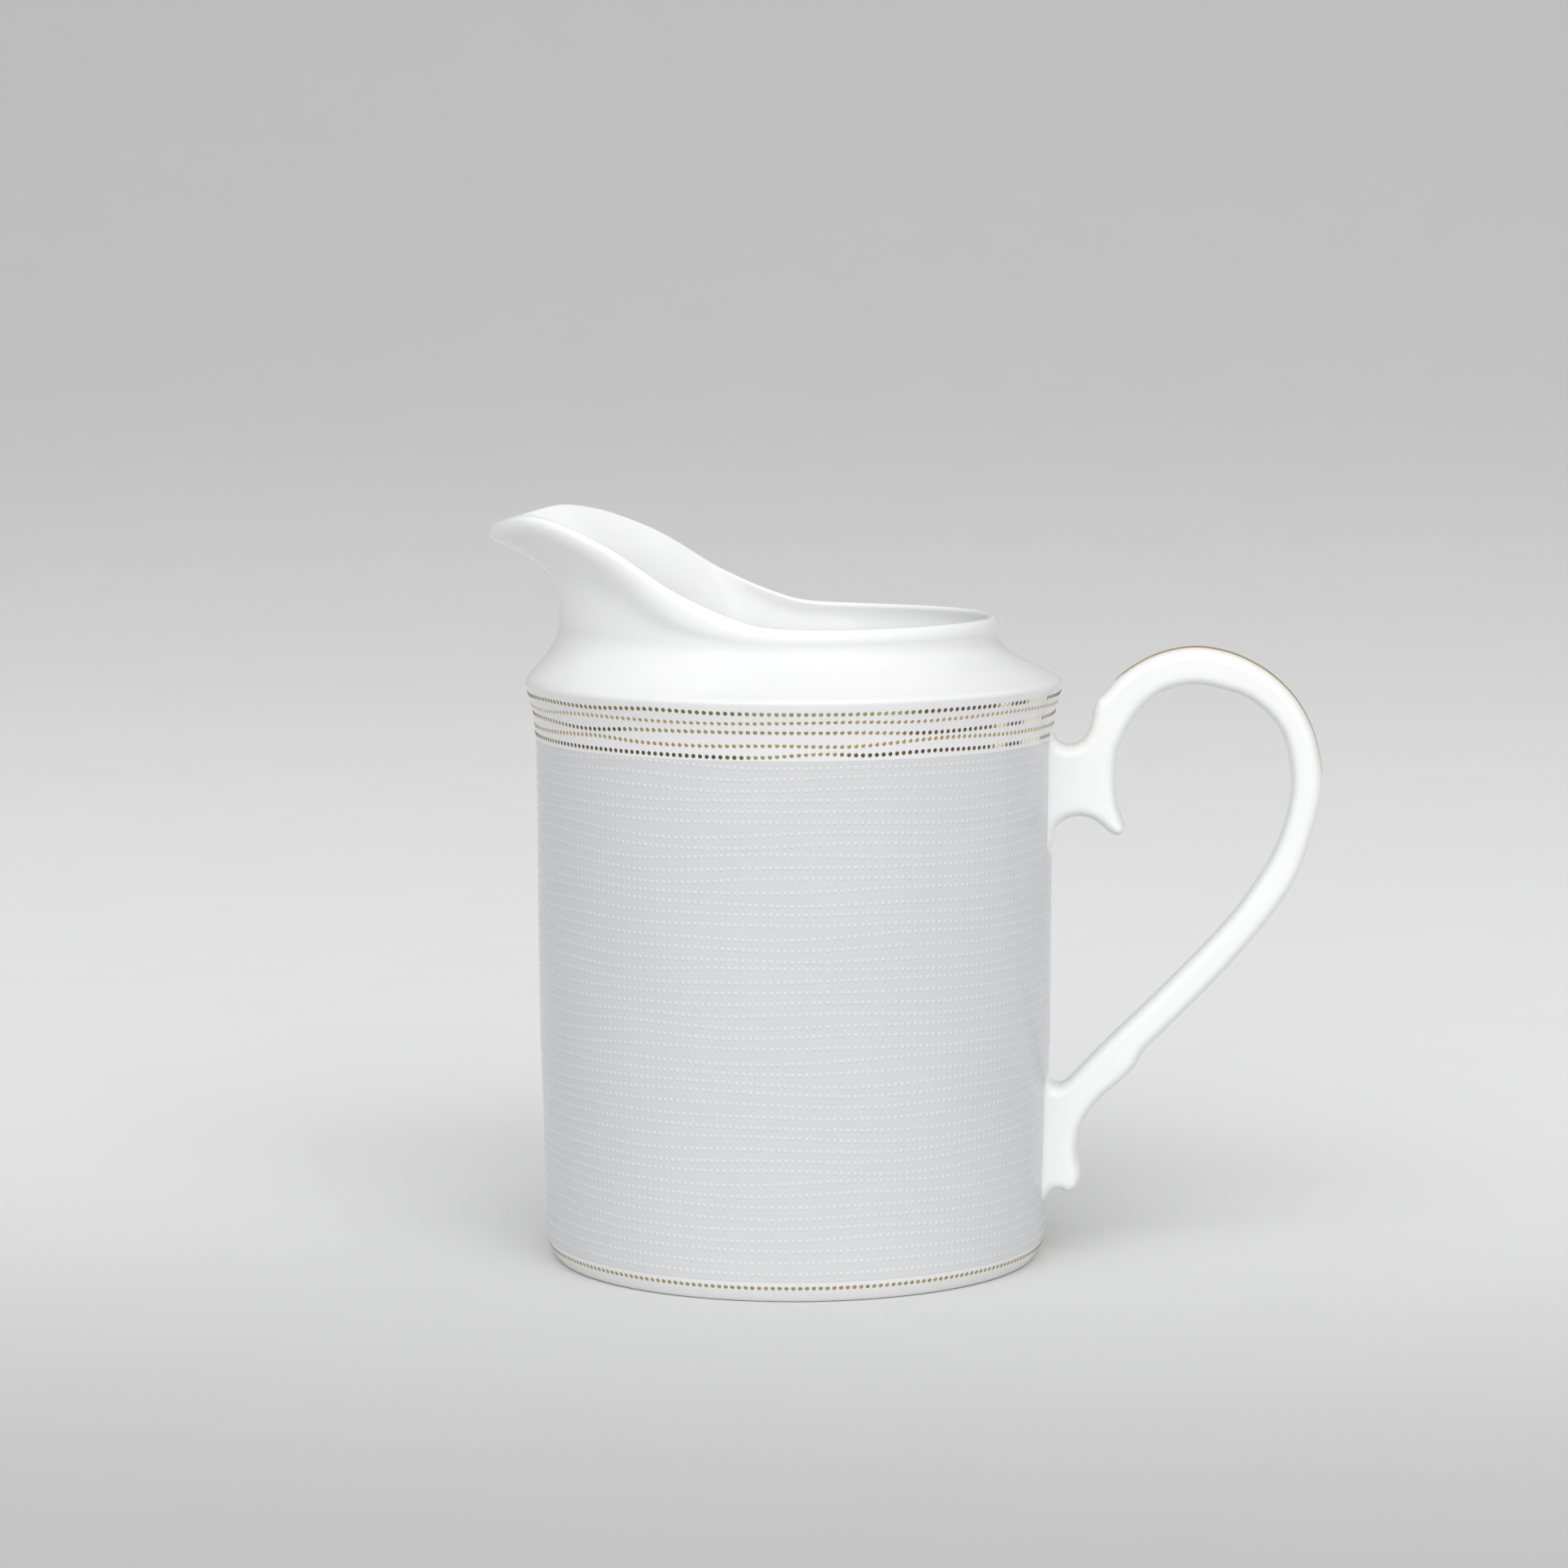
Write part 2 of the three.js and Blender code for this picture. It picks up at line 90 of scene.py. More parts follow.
# The lip's rounding is a quarter ellipse outside the crest and another inside it.
LIP_OUTER_DEPTH = (3.6, 1.7)
LIP_OUTER_HALF = (0.95, 1.45)
LIP_INNER_DEPTH = (0.6, 1.3)
LIP_INNER_HALF = (0.55, 1.4)
WALL_THICKNESS = 3.0
NECK_THICKNESS = 2.1
NECK_DEPTH = 3.2  # how far the inside runs straight down below the neck
# How far the flare keeps the neck's direction, and then the lip's, as shares of its length.
NECK_PULL = 0.53
INNER_NECK_PULL = 0.5
LIP_PULL = 0.46
FLOOR_HEIGHT = 5.2
FLOOR_FILLET = 8.0
INNER_SHOULDER_HEIGHT = 76.2
INNER_PULL = 2.6  # how far the inner shoulder keeps the vertical at both ends
BODY_SEGMENTS = 384
CENTRE_RADIUS = 2.0  # the innermost ring of the recess's roof and of the floor
STANDING_HEIGHT = 0.02  # what lies below it is bare clay

OUTER_OUTLINE = (
    (33.0, 72.9), (35.0, 72.8), (36.3, 72.1), (37.4, 71.5), (38.5, 71.5), (39.7, 72.1), (40.6, 73.4),
    (41.0, 74.8), (41.3, 76.4), (41.8, 77.7), (42.8, 78.7), (45.2, 81.2), (48.9, 83.5), (52.1, 84.6),
    (55.3, 85.0), (58.6, 84.6), (61.9, 83.5), (65.6, 81.3), (68.9, 78.0), (71.3, 73.6), (72.4, 69.1),
    (72.6, 66.9), (72.5, 64.6), (71.5, 60.2), (69.7, 54.5), (67.2, 50.0), (59.9, 40.9), (51.1, 31.8),
    (48.8, 29.5), (48.0, 28.3), (47.5, 27.3), (46.9, 26.5), (45.3, 24.9), (42.7, 22.6), (40.7, 20.1),
    (39.7, 18.0), (39.3, 15.2), (39.4, 13.8), (39.7, 12.6), (39.7, 11.1), (39.2, 9.9), (38.0, 9.3),
    (37.0, 9.6), (36.0, 9.5), (35.0, 8.6), (33.0, 8.3),
)
INNER_OUTLINE = (
    (33.0, 25.4), (35.2, 25.0), (35.9, 24.4), (36.8, 24.3), (37.8, 24.9), (38.8, 25.9), (42.1, 29.4),
    (51.4, 38.6), (59.9, 47.7), (63.2, 52.2), (65.9, 56.8), (67.5, 61.2), (68.3, 65.7), (68.1, 69.1),
    (67.1, 73.0), (65.3, 75.6), (62.3, 78.0), (59.2, 79.1), (55.1, 79.8), (51.4, 79.0), (49.5, 77.9),
    (47.3, 75.6), (45.6, 72.6), (44.8, 70.6), (44.4, 66.7), (44.8, 63.0), (45.4, 61.2), (45.75, 60.0),
    (45.3, 59.15), (44.5, 59.0), (43.5, 59.5), (42.6, 60.3), (41.3, 61.2), (39.4, 61.6), (37.4, 61.0),
    (36.1, 59.8), (35.4, 58.4), (33.0, 57.4),
)
HANDLE_HALF_WIDTH = 3.7
HANDLE_ROUNDING = 1.9  # how far the rounding of the sides reaches in from the outline
HANDLE_FULLNESS = 2.9  # exponent of the handle's rounded section
OUTLINE_STEPS = 6
JOINT_SPREAD_HEIGHTS = (8.0, 26.0, 57.0, 61.5, 69.0, 74.0)
JOINT_SPREAD = (0.9, 0.9, 2.0, 1.0, 0.9, 1.4)  # how far the slip flares from the handle at a height
# Past the flare the slip lies just inside the wall's surface, and it sinks further in at a slope
# from a little before the flare's end to where it stops.
SKIRT_SINK = 0.004
SKIRT_SLOPE = 0.25
SKIRT_START = 0.1
SKIRT_END = 0.5
ROOT_DEPTH = 0.35  # how far the hidden roots of the handle reach into the wall
SLIP_REACH = 1.95  # the slip joint is what lies within this distance of the wall
SLIP_SPLIT_HEIGHT = 42.0  # between the two joints
LEAST_STEEPNESS = 0.12  # keeps the distance finite in the middle of the handle
GRADIENT_STEP = 0.04
NORMAL_STEP = 0.08  # a wider step, so that the normals are smooth
LEAST_GRADIENT = 0.05  # squared; keeps a point's move finite where the field is nearly flat
NET_LOW, NET_HIGH = (32.2, -8.0, 6.2), (74.6, 8.0, 87.4)
NET_STEP = 0.3
SETTLE_LIMIT = 0.15  # the furthest that a point of the net is moved at once
TUCK = 0.5  # how far the hidden edge of a piece of the handle is turned in

# The brushed gold line over the crown: the outline's points that it follows, how much of that
# stretch it covers, and its half width. It tapers over a share of its length at its start and its
# end, each with an exponent of its own.
LINE_POINTS = slice(10, 23)
LINE_STEPS, LINE_LANES = 12, 9
LINE_START, LINE_END = 0.05, 0.93
LINE_HALF_WIDTH = 1.6
LINE_TIP = 0.02
LINE_TAPER = (0.05, 0.35)
LINE_TAPER_CURVE = (0.7, 0.6)
LINE_LIFT, LINE_SINK = 0.035, -0.06

# Printed layers. Heights of the gold rows and of the grey field, and the dots' sizes.
DOTS_ROUND = 238
DOT_RADIUS = 0.295
WHITE_DOT_RADIUS = 0.305
PRINT_LIFT = 0.008
PRINT_SINK = 0.05
GREY_LOW = 2.9
GREY_HIGH = 72.4
# Where the grey print stops under the joints: wall radius, middle height, half height and half width.
JOINT_WINDOWS = ((35.6, 66.2, 6.4, 4.3), (35.0, 17.0, 7.6, 4.2))
WINDOW_FULLNESS = 3.0  # exponent of the windows' rounded outline
FAR_MARGIN = 9.0  # stands for any place far from the windows
DOT_MARGIN = 0.5  # the white dots stop at this share of the window's size outside it
# A gold row's mean height, and how it wanders: (angle in degrees, rise), repeated every half turn.
GOLD_ROWS = (
    (78.7, (
        (-168, 0.0), (-150, 0.06), (-132, -0.05), (-116, 0.28), (-100, 0.02), (-70, -0.1), (-40, 0.0),
    )),
    (77.4, (
        (-165, -0.2), (-153, -0.3), (-135, 0.13), (-103, -0.05), (-73, 0.14), (-58, -0.08), (-30, 0.22),
    )),
    (76.0, (
        (-168, 0.05), (-151, -0.03), (-134, -0.34), (-118, 0.14), (-72, 0.12), (-56, -0.24), (-36, -0.12),
    )),
    (74.58, (
        (-165, -0.2), (-150, -0.12), (-131, 0.26), (-118, -0.14), (-104, -0.25), (-88, -0.1), (-72, -0.28),
        (-58, 0.24), (-49, 0.4), (-33, 0.1), (-20, 0.05),
    )),
    (73.12, (
        (-165, 0.1), (-140, 0.0), (-116, -0.1), (-93, -0.24), (-78, 0.24), (-69, -0.04), (-54, 0.2),
        (-38, 0.06),
    )),
)
# How dark or pale the burnished rows are painted along the band, as painted reflections of their
# surroundings: (angle in degrees, painted reflection), 0 dark and 1 pale. Beside the handle's joint all
# three carry the same painted reflection of the handle.
PAINTED_REFLECTIONS_NEAR_JOINT = (
    (-37, 0.0), (-35.5, 0.9), (-33.5, 0.8), (-31, 0.0), (-26, 0.0), (-25.5, 1.0), (-16.5, 1.0),
    (-15, 0.15),
)
GOLD_PAINTED_REFLECTIONS = (
    ((-150, 0.25), (-110, 0.16), (-97, 0.2), (-92, 0.45), (-62, 0.5), (-56, 0.05)),
    ((-146, 0.3), (-137, 0.0), (-124, 0.0), (-120, 0.45), (-62, 0.5), (-58, 0.05)),
    ((-150, 0.2), (-143, 0.0), (-96, 0.05), (-93, 0.5), (-76, 0.55), (-72, 0.05)),
)
DOT_TOP_HIGHLIGHT = 0.16  # painted highlight: how much paler a burnished dot is painted on its top
FOOT_ROW = 2.1
WHITE_ROW_FIRST = 71.6
WHITE_ROW_LAST = 4.0
WHITE_ROWS = 46
# Each white row is the row above it, changed a little. Its waves round the jug and their sizes:
WAVES = (2, 3, 4, 5, 7, 9)
WAVE_SIZES = (0.16, 0.16, 0.13, 0.11, 0.07, 0.04)
WAVE_MEMORY = 0.72
WAVE_SEED = 11
CALM_HEIGHT = 8.0  # the rows run straighter below this height over the foot's gold row
# A dot is a low dome: each ring of it as (share of the radius, share of the rise), above a hidden
# ring that lies inside the wall.
DOME_RINGS = ((0.96, 0.45), (0.62, 1.0))
DOME_SINK = -0.05
GOLD_RISE, SATIN_RISE, WHITE_RISE = 0.05, 0.04, 0.03
GOLD_SIDES, WHITE_SIDES = 16, 8
GROUND_AROUND, GROUND_TALL = 400, 96


# ---- Curve helpers ------------------------------------------------------------------------


def mix(pair, share):
    """The value between the handle's side, share 0, and the spout's side, share 1."""
    return np.asarray(pair[0]) * (1 - share) + np.asarray(pair[1]) * share


def through(xs, ys, x):
    """A smooth curve through the knots, read at x, which may be an array."""
    xs, ys = np.asarray(xs, float), np.asarray(ys, float)
    x = np.clip(x, xs[0], xs[-1])
    last = len(xs) - 1
    i = np.clip(np.searchsorted(xs, x, side="right") - 1, 0, last - 1)
    before, after = np.maximum(i - 1, 0), np.minimum(i + 2, last)
    span = xs[i + 1] - xs[i]
    t = (x - xs[i]) / span
    m0 = (ys[i + 1] - ys[before]) / (xs[i + 1] - xs[before]) * span
    m1 = (ys[after] - ys[i]) / (xs[after] - xs[i]) * span
    smooth = (2 * t**3 - 3 * t**2 + 1) * ys[i] + (3 * t**2 - 2 * t**3) * ys[i + 1]
    return smooth + (t**3 - 2 * t**2 + t) * m0 + (t**3 - t**2) * m1


def bezier(p0, p1, p2, p3, steps):
    """Points on a cubic Bezier curve, without its first point."""
    t = np.linspace(0, 1, steps + 1)[1:, None]
    ends = (1 - t) ** 3 * np.asarray(p0) + t**3 * np.asarray(p3)
    return ends + 3 * (1 - t) ** 2 * t * np.asarray(p1) + 3 * (1 - t) * t**2 * np.asarray(p2)


def catmull(points, steps):
    """A centripetal Catmull-Rom curve through the points."""
    p = np.asarray(points, float)
    p = np.vstack([2 * p[0] - p[1], p, 2 * p[-1] - p[-2]])
    out = []
    for a, b, c, d in zip(p, p[1:], p[2:], p[3:]):
        ta, tb, tc = (math.sqrt(math.dist(u, v)) for u, v in ((a, b), (b, c), (c, d)))
        t1, t2, t3 = ta, ta + tb, ta + tb + tc
        t = np.linspace(t1, t2, steps, endpoint=False)[:, None]
        ab = (t1 - t) / t1 * a + t / t1 * b
        bc = (t2 - t) / (t2 - t1) * b + (t - t1) / (t2 - t1) * c
        cd = (t3 - t) / (t3 - t2) * c + (t - t2) / (t3 - t2) * d
        abc = (t2 - t) / t2 * ab + t / t2 * bc
        bcd = (t3 - t) / (t3 - t1) * bc + (t - t1) / (t3 - t1) * cd
        out.append((t2 - t) / (t2 - t1) * abc + (t - t1) / (t2 - t1) * bcd)
    return np.vstack(out + [p[-2:-1]])


def wall_radius(z):
    """Radius of the outside of the wall at a height, rounded into the foot below CORNER_TOP."""
    z = np.asarray(z, float)
    down = np.clip((CORNER_TOP - z) / CORNER_TOP, 0, 1)
    heel = np.clip((HEEL_HEIGHT - z) / HEEL_HEIGHT, 0, 1)
    corner = WALL_RADII[0] - CORNER_DROP * down**CORNER_FULLNESS - HEEL_DROP * (1 - np.sqrt(1 - heel**2))
    return np.where(z < CORNER_TOP, corner, through(WALL_HEIGHTS, WALL_RADII, z))


# ---- Meshes -------------------------------------------------------------------------------


def to_frame(points):
    """Millimetres round the body's axis to metres in the frame."""
    return np.asarray(points, float) * MM + AXIS


def make_piece(name, points, faces, materials, replaces, face_materials=None, normals=None):
    """A smooth piece that rides on the body and stands for CAD nodes."""
    mesh = bpy.data.meshes.new(name)
    mesh.from_pydata(to_frame(points).tolist(), [], faces)
    mesh.polygons.foreach_set("use_smooth", [True] * len(mesh.polygons))
    for material in materials:
        mesh.materials.append(material)
    if face_materials is not None:
        mesh.polygons.foreach_set("material_index", face_materials)
    mesh.update()
    if normals is not None:
        mesh.normals_split_custom_set(normals)
    piece = bpy.data.objects.new(name, mesh)
    bpy.context.scene.collection.objects.link(piece)
    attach(piece, BODY)
    if replaces:
        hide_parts(*replaces)
    return piece


# ---- Materials ----------------------------------------------------------------------------


def new_material(name):
    material = bpy.data.materials.new(name)
    material.use_nodes = True
    nodes = material.node_tree.nodes
    return material, nodes, material.node_tree.links, nodes["Principled BSDF"]


def noise(nodes, links, scale, detail=3.0, roughness=0.5):
    """Noise on the object's own coordinates. Scale is in waves per metre."""
    place = nodes.new("ShaderNodeTexCoord")
    texture = nodes.new("ShaderNodeTexNoise")
    texture.inputs["Scale"].default_value = scale
    texture.inputs["Detail"].default_value = detail
    texture.inputs["Roughness"].default_value = roughness
    links.new(place.outputs["Object"], texture.inputs["Vector"])
    return texture.outputs["Fac"]


def ramp(nodes, links, factor, stops):
    """A colour ramp between (position, colour) stops."""
    node = nodes.new("ShaderNodeValToRGB")
    elements = node.color_ramp.elements
    while len(elements) < len(stops):
        elements.new(0.5)
    for element, (position, colour) in zip(elements, stops):
        element.position = position
        element.color = (*colour, 1.0)
    links.new(factor, node.inputs["Fac"])
    return node.outputs["Color"]


def spread(nodes, links, factor, low, high):
    """The factor, from 0.3 to 0.7, mapped to low and high."""
    node = nodes.new("ShaderNodeMapRange")
    node.inputs["From Min"].default_value = 0.3
    node.inputs["From Max"].default_value = 0.7
    node.inputs["To Min"].default_value = low
    node.inputs["To Max"].default_value = high
    links.new(factor, node.inputs["Value"])
    return node.outputs["Result"]


def bump(nodes, links, shader, height, distance):
    """Small hollows and rises that the shader sees. The distance is in metres."""
    node = nodes.new("ShaderNodeBump")
    node.inputs["Strength"].default_value = 1.0
    node.inputs["Distance"].default_value = distance
    links.new(height, node.inputs["Height"])
    links.new(node.outputs["Normal"], shader.inputs["Normal"])


def toned_and_shaded(nodes, links, colour, tones):
    """The colour times a tone that changes with the height: (height in millimetres, tone) knots."""
    low, high = tones[0][0], tones[-1][0]
    place = nodes.new("ShaderNodeTexCoord")
    split = nodes.new("ShaderNodeSeparateXYZ")
    links.new(place.outputs["Object"], split.inputs["Vector"])
    share = nodes.new("ShaderNodeMapRange")
    share.inputs["From Min"].default_value = low * MM
    share.inputs["From Max"].default_value = high * MM
    links.new(split.outputs["Z"], share.inputs["Value"])
    stops = [((height - low) / (high - low), (tone, tone, tone)) for height, tone in tones]
    product = nodes.new("ShaderNodeVectorMath")
    product.operation = "MULTIPLY"
    links.new(colour, product.inputs[0])
    links.new(ramp(nodes, links, share.outputs["Result"], stops), product.inputs[1])
    return product.outputs["Vector"]


def glazed(name, dark, light, roughness=(0.05, 0.11), tone_and_shade=None):
    """A glossy glaze over a nearly even colour, with the slight waviness of a fired surface."""
    material, nodes, links, shader = new_material(name)
    cloud = noise(nodes, links, 55.0, 4.0)
    colour = ramp(nodes, links, cloud, [(0.3, dark), (0.7, light)])
    if tone_and_shade:
        colour = toned_and_shaded(nodes, links, colour, tone_and_shade)
    links.new(colour, shader.inputs["Base Color"])
    links.new(spread(nodes, links, noise(nodes, links, 900.0), *roughness), shader.inputs["Roughness"])
    shader.inputs["IOR"].default_value = 1.52
    shader.inputs["Specular IOR Level"].default_value = 0.2
    shader.inputs["Coat Weight"].default_value = 0.04
    shader.inputs["Coat Roughness"].default_value = 0.03
    bump(nodes, links, shader, noise(nodes, links, 160.0, 1.0), 0.00002)
    return material


def bare_clay(name):
    """The unglazed ring that the jug stands on, ground after firing."""
    material, nodes, links, shader = new_material(name)
    grain = noise(nodes, links, 2600.0, 6.0, 0.65)
    links.new(
        ramp(nodes, links, grain, [(0.35, (0.66, 0.63, 0.58)), (0.65, (0.80, 0.78, 0.74))]),
        shader.inputs["Base Color"],
    )
    links.new(spread(nodes, links, grain, 0.6, 0.8), shader.inputs["Roughness"])
    bump(nodes, links, shader, grain, 0.00005)
    return material


def gilded(name, stops, roughness, by_painted_reflection=False):
    """Fired gold, a little uneven in colour and polish. Its colour can follow a painted reflection stored
    on the mesh, with dark and pale patches on the dots.
    """
    material, nodes, links, shader = new_material(name)
    tint = noise(nodes, links, 1400.0, 3.0)
    if by_painted_reflection:
        painted_reflection = nodes.new("ShaderNodeAttribute")
        painted_reflection.attribute_name = "painted_reflection"
        total = nodes.new("ShaderNodeMath")
        total.operation = "ADD"
        links.new(painted_reflection.outputs["Fac"], total.inputs[0])
        links.new(spread(nodes, links, tint, -0.06, 0.06), total.inputs[1])
        tint = total.outputs["Value"]
    links.new(ramp(nodes, links, tint, stops), shader.inputs["Base Color"])
    links.new(spread(nodes, links, noise(nodes, links, 3000.0), *roughness), shader.inputs["Roughness"])
    shader.inputs["Metallic"].default_value = 1.0
    bump(nodes, links, shader, noise(nodes, links, 2200.0, 2.0), 0.00001)
    return material


# The body's white changes with the height: (height, tone) knots. It is a little greyer on the wall than on
# the spout. Over the shoulder and the neck the tone is painted shade, lowered where the light makes the
# white brightest.
TONE_AND_SHADE_BY_HEIGHT = ((79.0, 0.9), (80.2, 0.92), (82.2, 0.965), (85.0, 0.945), (88.0, 0.965), (93.0, 1.0))
WHITES = (0.865, 0.87, 0.868), (0.895, 0.90, 0.896)
PORCELAIN = glazed("white_porcelain", *WHITES)
# The body's porcelain carries painted shade over its shoulder and neck.
WALL_PORCELAIN = glazed("porcelain_toned_and_shaded", *WHITES, tone_and_shade=TONE_AND_SHADE_BY_HEIGHT)
GREY_PRINT = glazed("grey_print", (0.638, 0.648, 0.664), (0.654, 0.664, 0.678))
WHITE_ENAMEL = glazed("white_enamel", (0.692, 0.704, 0.711), (0.714, 0.726, 0.732), (0.1, 0.18))
BARE_CLAY = bare_clay("bare_clay")
# The burnished gold's colour runs from a dark painted reflection through olive to a pale painted highlight.
BRIGHT_GOLD = gilded(
    "bright_gold", [(0.0, (0.055, 0.045, 0.035)), (0.5, (0.42, 0.355, 0.165)), (1.0, (0.95, 0.85, 0.55))],
    (0.1, 0.18), by_painted_reflection=True,
)
SATIN_GOLD = gilded("satin_gold", [(0.35, (0.56, 0.44, 0.24)), (0.65, (0.64, 0.50, 0.28))], (0.32, 0.42))
FOOT_GOLD = gilded("foot_gold", [(0.35, (0.40, 0.33, 0.18)), (0.65, (0.52, 0.42, 0.24))], (0.2, 0.3))


# ---- Body ---------------------------------------------------------------------------------


def rim_at(angle):
    """The lip's crest, its own direction and the way out of it, in radius and height, at an angle."""
    to_spout = -math.cos(angle)
    share = max(to_spout, 0.0) ** 2
    half = float(mix(LIP_HALF, share**2))
    radius = RIM_RADIUS + LIP_REACH * ((1 - LIP_SWELL) * share + LIP_SWELL * share**3)
    lean = math.radians(float(mix(LIP_LEAN, share)))
    height = float(through(RIM_TOWARDS_SPOUT, RIM_HEIGHTS, to_spout))
    along = np.array([math.cos(lean), math.sin(lean)])
    crest = np.array([radius, height - half]) + half * along
    return crest, along, np.array([along[1], -along[0]])


def body_section(angle):
    """The body's section at an angle, from the recess under it over the rim to the floor."""
    share = max(-math.cos(angle), 0.0) ** 2
    shoulder = mix(SHOULDER_END, share)
    slope = math.radians(float(mix(SHOULDER_SLOPE, share)))
    down = np.array([math.cos(slope), -math.sin(slope)])
    reach, drop = float(mix(SHOULDER_REACH, share)), float(mix(NECK_DROP, share))
    neck = mix(NECK, share)
    crest, along, out = rim_at(angle)
    spout = share**2
    # The lip's rounding takes up to half the way down to the neck, and never more than its limit.
    limit = float(mix(LIP_OUTER_DEPTH, spout))
    outer_depth = limit * math.tanh(0.5 * math.dist(crest, neck) / limit)
    outer_half = float(mix(LIP_OUTER_HALF, spout))
    inner_depth, inner_half = float(mix(LIP_INNER_DEPTH, spout)), float(mix(LIP_INNER_HALF, spout))
    lip_out = crest - outer_depth * along + outer_half * out
    lip_in = crest - inner_depth * along - inner_half * out
    flare = math.dist(lip_out, neck)
    inner_neck = neck - (NECK_THICKNESS, NECK_DEPTH)
    inner_flare = math.dist(lip_in, inner_neck)
    up = np.array([0.0, 1.0])
    inner_edge = np.array([
        float(through(WALL_HEIGHTS, WALL_RADII, INNER_SHOULDER_HEIGHT)) - WALL_THICKNESS,
        INNER_SHOULDER_HEIGHT,
    ])
    foot_side = bezier(
        (RECESS_RADIUS, RECESS_DEPTH), (RECESS_RADIUS + RECESS_PULL[0], RECESS_DEPTH + RECESS_PULL[1]),
        (FOOT_INNER + FOOT_PULL[0], FOOT_PULL[1]), (FOOT_INNER, 0), 8,
    )
    heel = HEEL_HEIGHT * (1 - np.cos(np.linspace(0, math.pi / 2, 7)[1:]))
    corner = np.concatenate([heel, np.linspace(HEEL_HEIGHT, CORNER_TOP, 10)[1:-1]])
    wall = np.linspace(CORNER_TOP, SHOULDER_TOP, 44)
    outer = np.concatenate([corner, wall])
    turns = np.linspace(0, math.pi / 2, 9)[1:, None]
    fillet_top = FLOOR_HEIGHT + FLOOR_FILLET
    inner_heights = np.linspace(INNER_SHOULDER_HEIGHT, fillet_top, 22)[1:]
    inner_wall = through(WALL_HEIGHTS, WALL_RADII, inner_heights) - WALL_THICKNESS
    fillet = np.linspace(0, math.pi / 2, 9)[1:]
    edge = np.array([WALL_RADII[-1], SHOULDER_TOP])
    return np.vstack([
        np.linspace((CENTRE_RADIUS, RECESS_DEPTH), (RECESS_RADIUS, RECESS_DEPTH), 9),
        foot_side,
        np.linspace((FOOT_INNER, 0), (CORNER_START, 0), 5)[1:],
        np.column_stack([wall_radius(outer), outer]),
        bezier(edge, edge + SHOULDER_EDGE, shoulder + SHOULDER_EDGE[1] * down, shoulder, 8),
        bezier(shoulder, shoulder - reach * down, neck - drop * up, neck, 16),
        bezier(neck, neck + NECK_PULL * flare * up, lip_out - LIP_PULL * flare * along, lip_out, 20),
        crest + outer_half * np.cos(turns) * out - outer_depth * (1 - np.sin(turns)) * along,
        crest - inner_half * np.sin(turns) * out - inner_depth * (1 - np.cos(turns)) * along,
        bezier(
            lip_in, lip_in - LIP_PULL * inner_flare * along,
            inner_neck + INNER_NECK_PULL * inner_flare * up, inner_neck, 16,
        ),
        bezier(inner_neck, inner_neck - INNER_PULL * up, inner_edge + INNER_PULL * up, inner_edge, 14),
        np.column_stack([inner_wall, inner_heights]),
        np.column_stack([
            inner_wall[-1] - FLOOR_FILLET * (1 - np.cos(fillet)), fillet_top - FLOOR_FILLET * np.sin(fillet)
        ]),
        np.linspace((inner_wall[-1] - FLOOR_FILLET, FLOOR_HEIGHT), (CENTRE_RADIUS, FLOOR_HEIGHT), 7)[1:],
    ])


def make_body():
    angles = np.arange(BODY_SEGMENTS) * 2 * math.pi / BODY_SEGMENTS
    sections = np.array([body_section(a) for a in angles])
    rings = sections.shape[1]
    radius, height = sections[:, :, 0].T, sections[:, :, 1].T
    points = np.stack([radius * np.cos(angles), radius * np.sin(angles), height], axis=-1).reshape(-1, 3)
    below, above = len(points), len(points) + 1
    points = np.vstack([points, (0, 0, RECESS_DEPTH), (0, 0, FLOOR_HEIGHT)])
    faces, marks = [], []
    for j in range(BODY_SEGMENTS):
        k = (j + 1) % BODY_SEGMENTS
        faces.append((below, k, j))
        marks.append(0)
        for i in range(rings - 1):
            a, b = i * BODY_SEGMENTS, (i + 1) * BODY_SEGMENTS
            faces.append((a + j, a + k, b + k, b + j))
            stands = max(sections[j, i, 1], sections[j, i + 1, 1]) < STANDING_HEIGHT
            marks.append(1 if stands else 0)
        top = (rings - 1) * BODY_SEGMENTS
        faces.append((above, top + j, top + k))
        marks.append(0)
    make_piece(
        "jug_body_fine", points, faces, [WALL_PORCELAIN, BARE_CLAY], ["jug_body"], marks
    )


# ---- Handle and slip joints ---------------------------------------------------------------


